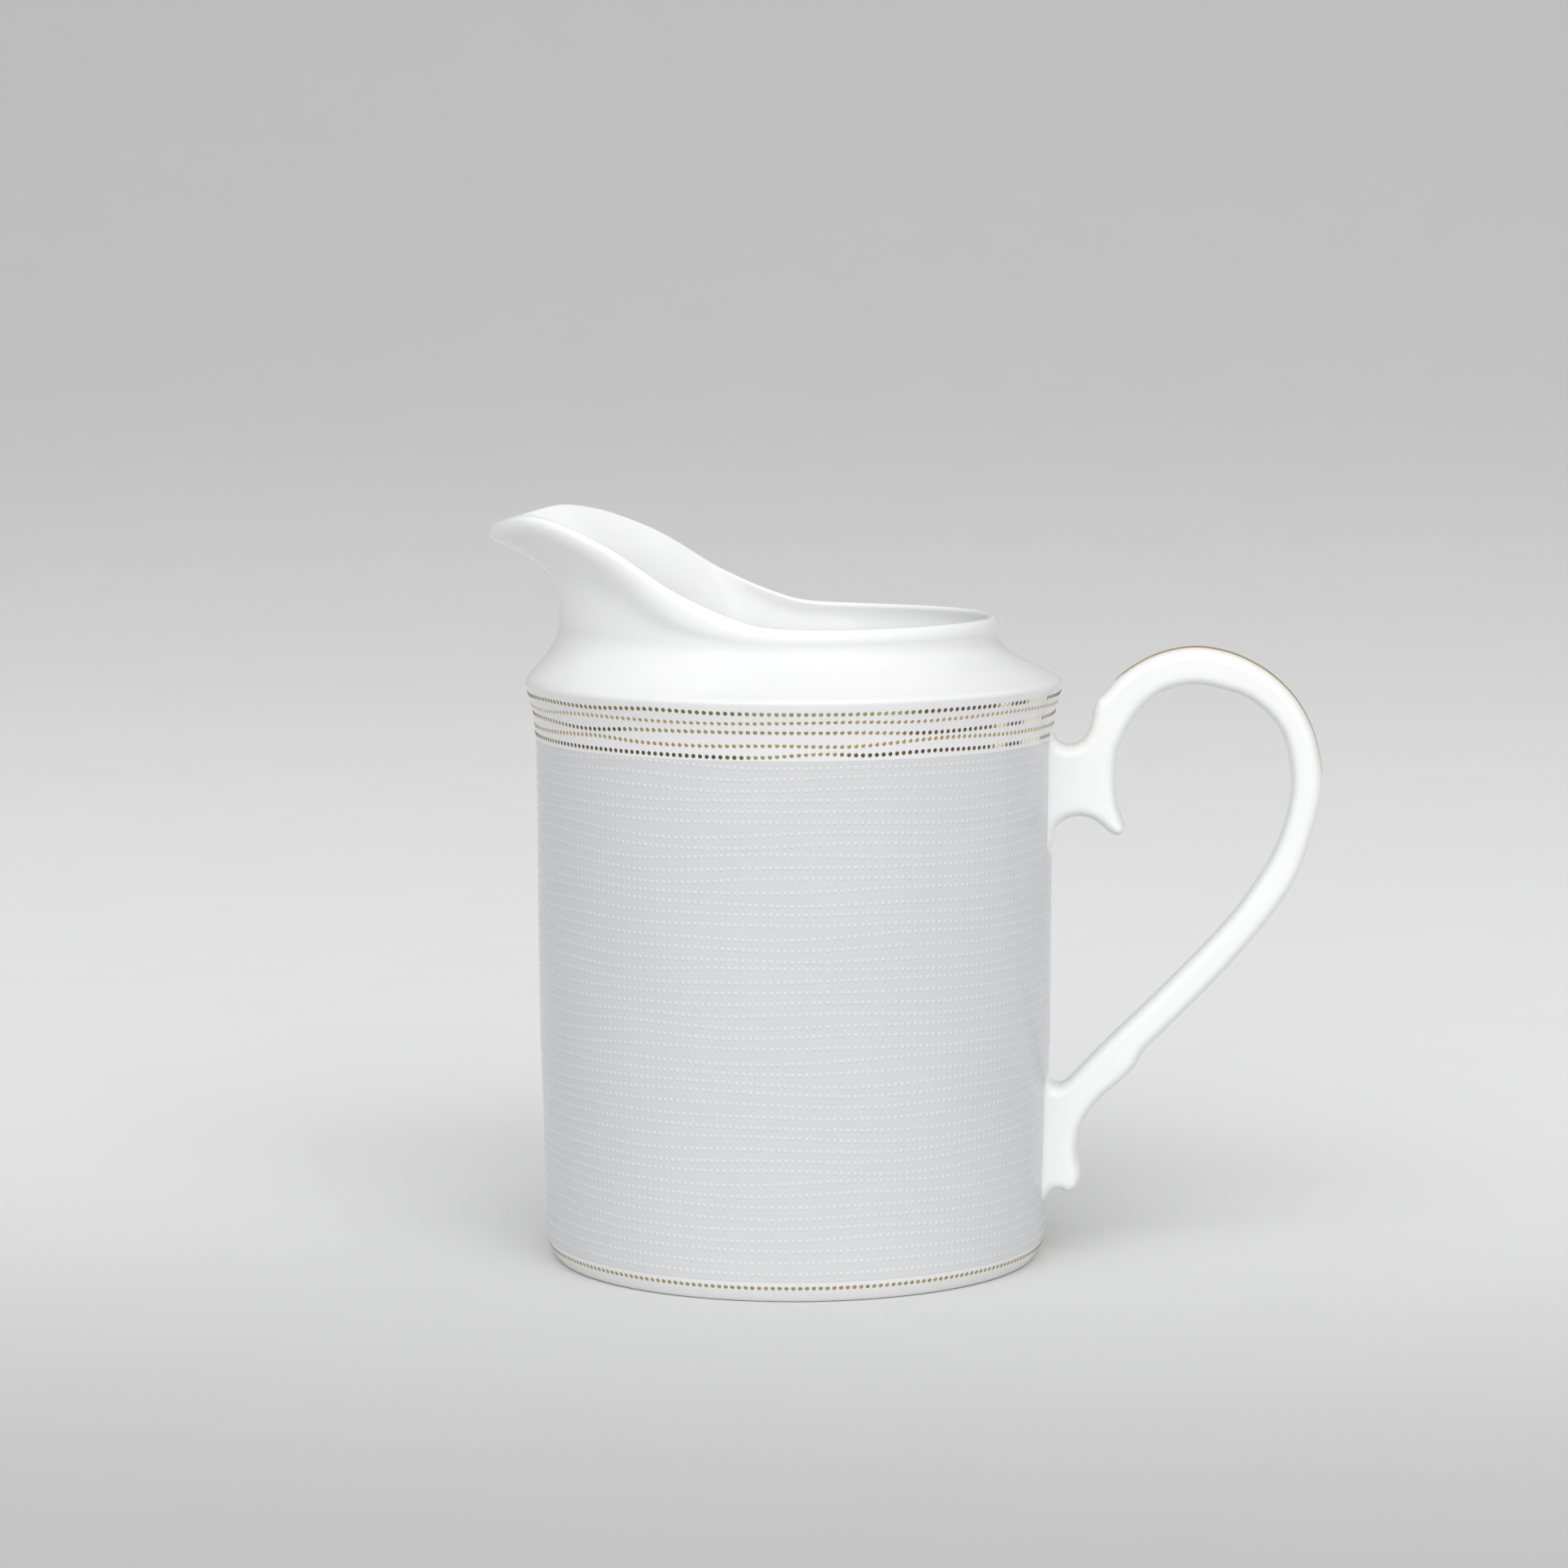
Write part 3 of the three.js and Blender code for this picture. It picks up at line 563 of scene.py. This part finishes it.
class Outline:
    """How deep a point lies inside the handle's side outline, in millimetres."""

    STEP = 0.1
    LOW = np.array([32.0, 6.0])
    HIGH = np.array([75.0, 88.0])

    def __init__(self, loop):
        xs = np.arange(self.LOW[0], self.HIGH[0], self.STEP)
        zs = np.arange(self.LOW[1], self.HIGH[1], self.STEP)
        x, z = np.meshgrid(xs, zs, indexing="ij")
        best = np.full(x.shape, 1e9)
        inside = np.zeros(x.shape, bool)
        for a, b in zip(loop, np.roll(loop, -1, axis=0)):
            edge = b - a
            length = float(edge @ edge)
            if length < 1e-12:
                continue
            t = np.clip(((x - a[0]) * edge[0] + (z - a[1]) * edge[1]) / length, 0, 1)
            best = np.minimum(best, (x - a[0] - t * edge[0]) ** 2 + (z - a[1] - t * edge[1]) ** 2)
            if a[1] != b[1]:
                crosses = (a[1] > z) != (b[1] > z)
                inside ^= crosses & (x < edge[0] * (z - a[1]) / edge[1] + a[0])
        self.depth = np.where(inside, 1, -1) * np.sqrt(best)

    def __call__(self, x, z):
        u = np.clip((x - self.LOW[0]) / self.STEP, 0, self.depth.shape[0] - 1.001)
        v = np.clip((z - self.LOW[1]) / self.STEP, 0, self.depth.shape[1] - 1.001)
        i, j = u.astype(int), v.astype(int)
        s, t = u - i, v - j
        d = self.depth
        low = d[i, j] * (1 - t) + d[i, j + 1] * t
        high = d[i + 1, j] * (1 - t) + d[i + 1, j + 1] * t
        return low * (1 - s) + high * s


outline_depth = Outline(
    np.vstack([catmull(OUTER_OUTLINE, OUTLINE_STEPS), catmull(INNER_OUTLINE, OUTLINE_STEPS)])
)


def handle_distance(p):
    """About how far a point is outside the handle alone, negative inside."""
    edge = np.maximum(HANDLE_ROUNDING - outline_depth(p[:, 0], p[:, 2]), 0) / HANDLE_ROUNDING + TINY
    across = np.abs(p[:, 1]) / HANDLE_HALF_WIDTH + TINY
    n = HANDLE_FULLNESS
    size = (edge**n + across**n) ** (1 / n)
    edge_steep = (edge / size) ** (n - 1) / HANDLE_ROUNDING
    across_steep = (across / size) ** (n - 1) / HANDLE_HALF_WIDTH
    return (size - 1) / np.maximum(np.hypot(edge_steep, across_steep), LEAST_STEEPNESS)


def wall_distance(p):
    return np.hypot(p[:, 0], p[:, 1]) - wall_radius(p[:, 2])


def joined_distance(p):
    """The handle flowing into the wall through its slip joints, with its roots inside the wall."""
    handle, wall = handle_distance(p), wall_distance(p)
    reach = through(JOINT_SPREAD_HEIGHTS, JOINT_SPREAD, p[:, 2])
    sunk = wall + SKIRT_SINK + SKIRT_SLOPE * np.maximum(handle - reach + SKIRT_START, 0)
    # A smooth union: where both distances are close to each other, the corner between them fills up.
    near = np.maximum(reach - np.abs(handle - sunk), 0) / reach
    joined = np.minimum(handle, sunk) - near**2 * reach / 4
    return np.maximum(np.maximum(joined, handle - reach - SKIRT_END), -(wall + ROOT_DEPTH))


def surface_net(field, low, high, step):
    """Quads on the surface where a field, negative inside, is zero."""
    axes = [np.arange(a, b, step) for a, b in zip(low, high)]
    grid = np.stack(np.meshgrid(*axes, indexing="ij"), axis=-1)
    shape = grid.shape[:3]
    values = field(grid.reshape(-1, 3)).reshape(shape)
    cells = tuple(n - 1 for n in shape)
    total, count = np.zeros(cells + (3,)), np.zeros(cells)

    def corner(offset):
        return values[tuple(slice(o, o + n) for o, n in zip(offset, cells))]

    for axis in range(3):
        others = [a for a in range(3) if a != axis]
        for first in (0, 1):
            for second in (0, 1):
                start = [0, 0, 0]
                start[others[0]], start[others[1]] = first, second
                end = list(start)
                end[axis] = 1
                a, b = corner(start), corner(end)
                crosses = (a < 0) != (b < 0)
                share = np.where(crosses, a / np.where(crosses, a - b, 1), 0)
                place = np.zeros(cells + (3,)) + start
                place[..., axis] += share
                total += place * crosses[..., None]
                count += crosses
    active = count > 0
    index = np.full(cells, -1)
    index[active] = np.arange(active.sum())
    inner = total[active] / count[active][:, None]
    points = (np.argwhere(active) + inner) * step + [a[0] for a in axes]
    faces = []
    for axis in range(3):
        u, v = [(axis + 1) % 3, (axis + 2) % 3]
        here = [slice(1, -1)] * 3
        here[axis] = slice(0, -1)
        there = list(here)
        there[axis] = slice(1, None)
        a, b = values[tuple(here)], values[tuple(there)]
        for rising in (False, True):
            crossing = (a < 0) & (b >= 0) if rising else (a >= 0) & (b < 0)
            at = np.argwhere(crossing)
            at[:, u] += 1
            at[:, v] += 1
            quad = []
            for du, dv in ((-1, -1), (0, -1), (0, 0), (-1, 0)):
                cell = at.copy()
                cell[:, u] += du
                cell[:, v] += dv
                quad.append(index[cell[:, 0], cell[:, 1], cell[:, 2]])
            quad = np.stack(quad if rising else quad[::-1], axis=1)
            faces.append(quad)
    return points, np.vstack(faces)


def gradient(field, p, step=GRADIENT_STEP):
    sides = []
    for axis in range(3):
        move = np.zeros(3)
        move[axis] = step
        sides.append((field(p + move) - field(p - move)) / (2 * step))
    return np.stack(sides, axis=1)


def settle(field, p, rounds=4):
    """Moves points onto the surface where the field is zero."""
    for _ in range(rounds):
        g = gradient(field, p)
        move = field(p)[:, None] * g / np.maximum((g**2).sum(1), LEAST_GRADIENT)[:, None]
        p = p - np.clip(move, -SETTLE_LIMIT, SETTLE_LIMIT)
    return p


def capped_part(name, points, faces, normals, keep, replaces):
    """The kept faces as a closed piece of their own. The cut is turned in under the surface."""
    used, renumbered = np.unique(faces[keep], return_inverse=True)
    quads = renumbered.reshape(-1, 4)
    edges = np.concatenate([quads[:, [i, (i + 1) % 4]] for i in range(4)])
    keys = {tuple(edge) for edge in edges.tolist()}
    border = [edge for edge in edges.tolist() if (edge[1], edge[0]) not in keys]
    rim = sorted({v for edge in border for v in edge})
    tucked = {v: len(used) + i for i, v in enumerate(rim)}
    at, facing = points[used], normals[used]
    at = np.vstack([at, at[rim] - TUCK * facing[rim]])
    skirt = [(b, a, tucked[a], tucked[b]) for a, b in border]
    shell = bmesh.new()
    corners = [shell.verts.new(p) for p in at.tolist()]
    for face in quads.tolist() + skirt:
        shell.faces.new([corners[v] for v in face])
    bmesh.ops.holes_fill(shell, edges=[e for e in shell.edges if e.is_boundary], sides=0)
    shell.verts.index_update()
    shell.normal_update()
    all_faces = [[v.index for v in f.verts] for f in shell.faces]
    flat = [np.array(f.normal) for f in shell.faces]
    shell.free()
    corner_normals = []
    for i, face in enumerate(all_faces):
        hidden = i >= len(quads)
        corner_normals += [flat[i] if hidden else facing[v] for v in face]
    make_piece(name, at, all_faces, [PORCELAIN], replaces, normals=corner_normals)


def make_handle():
    points, faces = surface_net(joined_distance, NET_LOW, NET_HIGH, NET_STEP)
    points = settle(joined_distance, points)
    normals = gradient(joined_distance, points, NORMAL_STEP)
    normals /= np.linalg.norm(normals, axis=1)[:, None]
    middle = points[faces].mean(axis=1)
    in_slip = wall_distance(middle) < SLIP_REACH
    upper = middle[:, 2] > SLIP_SPLIT_HEIGHT
    capped_part("handle_fine", points, faces, normals, ~in_slip, ["handle"])
    capped_part("upper_slip_joint", points, faces, normals, in_slip & upper, ["upper_handle_slip"])
    capped_part("lower_slip_joint", points, faces, normals, in_slip & ~upper, ["lower_handle_slip"])


# ---- Gold line on the handle --------------------------------------------------------------


def make_gold_line():
    """A brushed line over the crown, pointed at both ends, that follows the rounded spine."""
    spine = catmull(OUTER_OUTLINE[LINE_POINTS], LINE_STEPS)
    distance = np.concatenate([[0], np.cumsum(np.linalg.norm(np.diff(spine, axis=0), axis=1))])
    share = distance / distance[-1]
    keep = (share > LINE_START) & (share < LINE_END)
    spine, share = spine[keep], (share[keep] - LINE_START) / (LINE_END - LINE_START)
    along = np.gradient(spine, axis=0)
    along /= np.linalg.norm(along, axis=1)[:, None]
    outward = np.column_stack([-along[:, 1], along[:, 0]])
    starting = np.minimum(1, share / LINE_TAPER[0]) ** LINE_TAPER_CURVE[0]
    ending = np.minimum(1, (1 - share) / LINE_TAPER[1]) ** LINE_TAPER_CURVE[1]
    width = LINE_HALF_WIDTH * starting * ending + LINE_TIP
    lanes = np.linspace(-1, 1, LINE_LANES)
    n = HANDLE_FULLNESS

    def lane_points(lift):
        rows = []
        for lane in lanes:
            y = lane * width
            rounding = 1 - (1 - (np.abs(y) / HANDLE_HALF_WIDTH) ** n) ** (1 / n)
            rise = lift - rounding * HANDLE_ROUNDING
            rows.append(np.column_stack([
                spine[:, 0] + outward[:, 0] * rise, y, spine[:, 1] + outward[:, 1] * rise
            ]))
        return np.stack(rows, axis=1)

    top, bottom = lane_points(LINE_LIFT), lane_points(LINE_SINK)
    count, across = top.shape[:2]
    ring = np.concatenate([top, bottom[:, ::-1]], axis=1)
    points = ring.reshape(-1, 3)
    size = 2 * across
    faces = [
        (i * size + j, (i + 1) * size + j, (i + 1) * size + (j + 1) % size, i * size + (j + 1) % size)
        for i in range(count - 1) for j in range(size)
    ]
    faces += [tuple(range(size)), tuple((count - 1) * size + j for j in reversed(range(size)))]
    make_piece("gold_line", points, faces, [SATIN_GOLD], ["handle_gold_line"])


# ---- Printed layers -----------------------------------------------------------------------


def bare_margin(angle, z):
    """Below zero where the grey ground stops under a handle joint, above zero in the print."""
    angle = (np.asarray(angle) + math.pi) % (2 * math.pi) - math.pi
    n = WINDOW_FULLNESS
    margin = np.full(np.broadcast(angle, z).shape, FAR_MARGIN)
    for radius, middle, tall, half in JOINT_WINDOWS:
        # The windows are only on the handle's side. The sine is small on the spout's side too.
        across = np.where(np.abs(angle) < 1, np.abs(radius * np.sin(angle)), 3 * half) / half
        margin = np.minimum(margin, (across**n + np.abs((z - middle) / tall) ** n) ** (1 / n) - 1)
    return margin


def wall_frame(angle, z):
    """Point, direction round, direction up and outward normal on the wall."""
    radius = wall_radius(z)
    slope = (wall_radius(z + 0.05) - wall_radius(z - 0.05)) / 0.1
    c, s = np.cos(angle), np.sin(angle)
    point = np.stack([radius * c, radius * s, z], axis=-1)
    around = np.stack([-s, c, np.zeros_like(c)], axis=-1)
    up = np.stack([slope * c, slope * s, np.ones_like(c)], axis=-1)
    up /= np.linalg.norm(up, axis=-1, keepdims=True)
    return point, around, up, np.cross(around, up)


def make_dots(name, angles, heights, radius, rise, sides, material, replaces=()):
    """Low raised dots on the wall. Each is a closed dome that starts just inside the surface."""
    point, around, up, outward = wall_frame(angles, heights)
    turn = np.arange(sides) * 2 * math.pi / sides
    rings = [(1.0, DOME_SINK)] + [(size, rise * lift) for size, lift in DOME_RINGS]
    cosine, sine = np.cos(turn)[None, :, None], np.sin(turn)[None, :, None]
    circle = cosine * around[:, None] + sine * up[:, None]
    parts = [point[:, None] + radius * size * circle + lift * outward[:, None] for size, lift in rings]
    points = np.concatenate(parts, axis=1).reshape(-1, 3)
    pattern = [tuple(reversed(range(sides)))]
    for ring in range(len(rings) - 1):
        for j in range(sides):
            k = (j + 1) % sides
            a, b = ring * sides, (ring + 1) * sides
            pattern.append((a + j, a + k, b + k, b + j))
    pattern.append(tuple(range((len(rings) - 1) * sides, len(rings) * sides)))
    per_dot = sides * len(rings)
    faces = [
        tuple(v + dot * per_dot for v in face) for dot in range(len(angles)) for face in pattern
    ]
    return make_piece(name, points, faces, [material], replaces)


def row_heights(row, angles):
    """Heights of a gold row at angles round the jug."""
    mean, knots = row
    knots = [(a + turn, rise) for turn in (-180, 0, 180) for a, rise in knots]
    place = np.degrees(angles) % 180 - 180
    return mean + through([a for a, _ in knots], [rise for _, rise in knots], place)


def row_painted_reflections(knots, angles):
    """The painted reflection on the dots of a burnished row, from dark to pale, at angles round the jug."""
    place = np.degrees(angles) % 180 - 180
    return np.interp(place, [a for a, _ in knots], [painted_reflection for _, painted_reflection in knots])


def clear_of_joints(angles, heights):
    """Where a dot lies on the open wall and not under a slip joint."""
    point, _, _, _ = wall_frame(angles, heights)
    return handle_distance(point) > through(JOINT_SPREAD_HEIGHTS, JOINT_SPREAD, heights)


def make_gold_dots():
    angles = np.arange(DOTS_ROUND) * 2 * math.pi / DOTS_ROUND
    rows = [row_heights(row, angles) for row in GOLD_ROWS]
    a, z = np.tile(angles, 3), np.concatenate(rows[0::2])
    painted_reflections = np.concatenate([row_painted_reflections(knots + PAINTED_REFLECTIONS_NEAR_JOINT, angles) for knots in GOLD_PAINTED_REFLECTIONS])
    shown = clear_of_joints(a, z)
    dots = make_dots(
        "bright_gold_dots", a[shown], z[shown], DOT_RADIUS, GOLD_RISE, GOLD_SIDES, BRIGHT_GOLD,
        ["upper_gold_transfer"],
    )
    # Each dot's painted reflection, with a painted highlight on its top ring.
    top_highlights = np.repeat((0, 0, DOT_TOP_HIGHLIGHT), GOLD_SIDES)
    values = (painted_reflections[shown][:, None] + top_highlights).ravel()
    dots.data.attributes.new("painted_reflection", "FLOAT", "POINT").data.foreach_set("value", values)
    a, z = np.tile(angles, 2), np.concatenate(rows[1::2])
    shown = clear_of_joints(a, z)
    make_dots(
        "satin_gold_dots", a[shown], z[shown], DOT_RADIUS, SATIN_RISE, GOLD_SIDES, SATIN_GOLD,
    )
    make_dots(
        "foot_gold_dots", angles, np.full(DOTS_ROUND, FOOT_ROW), DOT_RADIUS, GOLD_RISE, GOLD_SIDES,
        FOOT_GOLD, ["foot_gold_transfer"],
    )


def white_rows():
    """Angles of the dots, and the heights of each white row at them."""
    draw = np.random.default_rng(WAVE_SEED)
    angles = np.arange(DOTS_ROUND) * 2 * math.pi / DOTS_ROUND
    turns = np.array(WAVES)[:, None] * angles
    size = np.array(WAVE_SIZES)[:, None]
    state = draw.normal(size=(len(WAVES), 2))
    change = math.sqrt(1 - WAVE_MEMORY**2)
    rows = []
    for z in np.linspace(WHITE_ROW_FIRST, WHITE_ROW_LAST, WHITE_ROWS):
        state = WAVE_MEMORY * state + change * draw.normal(size=state.shape)
        calm = min(1.0, (z - FOOT_ROW) / CALM_HEIGHT)
        wave = size * (state[:, :1] * np.cos(turns) + state[:, 1:] * np.sin(turns))
        rows.append(z + calm * wave.sum(axis=0))
    return angles, rows


def make_white_dots():
    angles, rows = white_rows()
    third = math.ceil(len(rows) / 3)
    for i, name in enumerate(("upper", "middle", "lower")):
        some = rows[i * third:(i + 1) * third]
        z, a = np.concatenate(some), np.tile(angles, len(some))
        shown = bare_margin(a, z) > DOT_MARGIN
        make_dots(
            f"white_dots_{name}", a[shown], z[shown], WHITE_DOT_RADIUS, WHITE_RISE, WHITE_SIDES,
            WHITE_ENAMEL,
        )


def make_grey_ground():
    """The printed ground: a skin just over the wall, open round the handle joints."""
    angles = np.arange(GROUND_AROUND) * 2 * math.pi / GROUND_AROUND
    rise = np.linspace(0, 1, GROUND_TALL)
    # The rings lie closer together near the foot, where the wall curves most.
    heights = GREY_LOW + (GREY_HIGH - GREY_LOW) * (0.75 * rise + 0.25 * rise**2)
    a, z = (grid.ravel() for grid in np.meshgrid(angles, heights, indexing="ij"))
    margin = bare_margin(a, z)
    index = np.arange(GROUND_AROUND * GROUND_TALL).reshape(GROUND_AROUND, GROUND_TALL)
    after = np.roll(index, -1, axis=0)
    quads = np.stack([index[:, :-1], after[:, :-1], after[:, 1:], index[:, 1:]], axis=-1).reshape(-1, 4)
    quads = quads[(margin[quads] > 0).any(axis=1)]
    # Corners that fall inside a window are slid onto its outline.
    radius, turn, climb = 35, 1e-4, 1e-3  # about the wall's radius, and a small step each way
    for _ in range(6):
        low = bare_margin(a, z)
        slope_a = (bare_margin(a + turn, z) - low) / (turn * radius)
        slope_z = (bare_margin(a, z + climb) - low) / climb
        step = np.where(low < 0, low / np.maximum(slope_a**2 + slope_z**2, 1e-3), 0)
        a, z = a - step * slope_a / radius, z - step * slope_z
    used, renumbered = np.unique(quads, return_inverse=True)
    quads = renumbered.reshape(-1, 4)
    point, _, _, outward = wall_frame(a[used], z[used])
    count = len(used)
    points = np.vstack([point + PRINT_LIFT * outward, point - PRINT_SINK * outward])
    edges = np.concatenate([quads[:, [i, (i + 1) % 4]] for i in range(4)]).tolist()
    keys = {tuple(edge) for edge in edges}
    sides = [(b, a, a + count, b + count) for a, b in edges if (b, a) not in keys]
    faces = quads.tolist() + (quads[:, ::-1] + count).tolist() + sides
    facing = np.concatenate([outward[quads].reshape(-1, 3), -outward[quads[:, ::-1]].reshape(-1, 3)])
    edge_facing = outward[[v for side in sides for v in (side[0], side[1], side[1], side[0])]]
    make_piece(
        "grey_print_ground", points, faces, [GREY_PRINT], ["grey_dot_transfer"],
        normals=np.concatenate([facing, edge_facing]).tolist(),
    )


# ---- Stage, light and camera --------------------------------------------------------------

# Painted light on the floor: its tone along the sweep, by the distance in metres from the jug, front to
# back. It is brightest just behind the jug and darker towards the camera and up the backdrop, as under an
# overhead light.
FLOOR_LIGHT_PLACES = (-3.0, -0.6, -0.15, -0.075, 0.0, 0.1, 0.25, 0.6, 0.9, 1.1, 1.3, 2.0)
FLOOR_PAINTED_LIGHT = (0.45, 0.49, 0.56, 0.655, 0.775, 0.88, 0.915, 0.94, 0.945, 0.82, 0.70, 0.64)

CAMERA_DISTANCE = 632.75
CAMERA_PITCH = math.radians(6.126)
CAMERA_ROLL = math.radians(-0.186)
CAMERA_AZIMUTH = math.radians(6.0)
CAMERA_TARGET = (-1.446, 0.0, 65.637)
CAMERA_FOCAL = 104.91
SENSOR = 36.0


def make_camera():
    back = np.array([0, -math.cos(CAMERA_PITCH), math.sin(CAMERA_PITCH)])
    right = np.array([1.0, 0, 0])
    up = np.cross(back, right)
    c, s = math.cos(CAMERA_ROLL), math.sin(CAMERA_ROLL)
    right, up = c * right + s * up, -s * right + c * up
    turn = np.array(Matrix.Rotation(CAMERA_AZIMUTH, 3, "Z"))
    place = turn @ (np.array(CAMERA_TARGET) + back * CAMERA_DISTANCE)
    axes = np.stack([turn @ right, turn @ up, turn @ back], axis=1)
    data = bpy.data.cameras.new("camera")
    data.lens = CAMERA_FOCAL
    data.sensor_width = SENSOR
    data.clip_start, data.clip_end = 0.01, 50
    camera = bpy.data.objects.new("camera", data)
    matrix = Matrix.Identity(4)
    for row in range(3):
        for column in range(3):
            matrix[row][column] = axes[row, column]
        matrix[row][3] = to_frame(place)[row]
    camera.matrix_world = matrix
    bpy.context.scene.collection.objects.link(camera)
    bpy.context.scene.camera = camera


def make_stage():
    """A pale floor that curves up into a backdrop. Its tone changes softly from near to far, as painted
    light that is brightest just behind the jug.
    """
    width, near, middle, bend, far, top = 1.6, -3.0, -0.5, 0.9, 1.6, 3.0
    curve = [(y, 0.0) for y in np.linspace(near, middle, 8)[:-1]]
    curve += [(y, 0.0) for y in np.linspace(middle, bend, 29)]
    for a in np.linspace(0, math.pi / 2, 25)[1:]:
        curve.append((bend + (far - bend) * math.sin(a), (far - bend) * (1 - math.cos(a))))
    curve.append((far, top))
    length, points, faces, tones = near, [], [], []
    for i, (y, z) in enumerate(curve):
        if i:
            length += math.dist((y, z), curve[i - 1])
        points += [(-width, y, z), (width, y, z)]
        tones += [float(through(FLOOR_LIGHT_PLACES, FLOOR_PAINTED_LIGHT, length))] * 2
    for i in range(len(curve) - 1):
        a = 2 * i
        faces.append((a, a + 1, a + 3, a + 2))
    mesh = bpy.data.meshes.new("floor")
    mesh.from_pydata(points, [], faces)
    mesh.polygons.foreach_set("use_smooth", [True] * len(mesh.polygons))
    # The tone is painted light along the sweep.
    mesh.attributes.new("tone", "FLOAT", "POINT").data.foreach_set("value", tones)
    material, nodes, links, shader = new_material("floor")
    tone = nodes.new("ShaderNodeAttribute")
    tone.attribute_name = "tone"
    grain = spread(nodes, links, noise(nodes, links, 40.0), 0.995, 1.005)
    product = nodes.new("ShaderNodeMath")
    product.operation = "MULTIPLY"
    links.new(tone.outputs["Fac"], product.inputs[0])
    links.new(grain, product.inputs[1])
    links.new(product.outputs["Value"], shader.inputs["Base Color"])
    shader.inputs["Roughness"].default_value = 0.6
    shader.inputs["Specular IOR Level"].default_value = 0.0
    mesh.materials.append(material)
    floor = bpy.data.objects.new("floor", mesh)
    bpy.context.scene.collection.objects.link(floor)


def area_light(name, place, target, size, power):
    data = bpy.data.lights.new(name, "AREA")
    data.shape = "RECTANGLE"
    data.size, data.size_y = size
    data.energy = power
    light = bpy.data.objects.new(name, data)
    light.location = place
    light.rotation_euler = (Vector(target) - Vector(place)).to_track_quat("-Z", "Y").to_euler()
    bpy.context.scene.collection.objects.link(light)


def make_lights():
    area_light("top_softbox", (0.1, 0, 1.3), (0.1, 0, 0), (3.4, 2.6), 7.8)
    area_light("front_softbox", (0.1, -1.5, 1.1), (0, 0, 0.05), (2.4, 1.6), 27.7)
    area_light("left_softbox", (-1.1, -1.1, 0.6), (0, 0, 0.05), (1.0, 1.0), 1.5)
    area_light("right_softbox", (1.1, -1.1, 0.6), (0, 0, 0.05), (1.0, 1.0), 2.8)
    world = bpy.data.worlds.new("studio")
    bpy.context.scene.world = world
    world.use_nodes = True
    nodes, links = world.node_tree.nodes, world.node_tree.links
    direction = nodes.new("ShaderNodeTexCoord")
    split = nodes.new("ShaderNodeSeparateXYZ")
    links.new(direction.outputs["Generated"], split.inputs["Vector"])
    glow = ramp(nodes, links, split.outputs["Z"], [(0.0, (0.55, 0.55, 0.55)), (0.7, (1.0, 1.0, 1.0))])
    sky = nodes["Background"]
    links.new(glow, sky.inputs["Color"])
    sky.inputs["Strength"].default_value = 0.4
    bpy.context.scene.view_settings.view_transform = "Standard"


make_camera()
make_body()
make_handle()
make_gold_line()
make_grey_ground()
make_white_dots()
make_gold_dots()
make_stage()
make_lights()
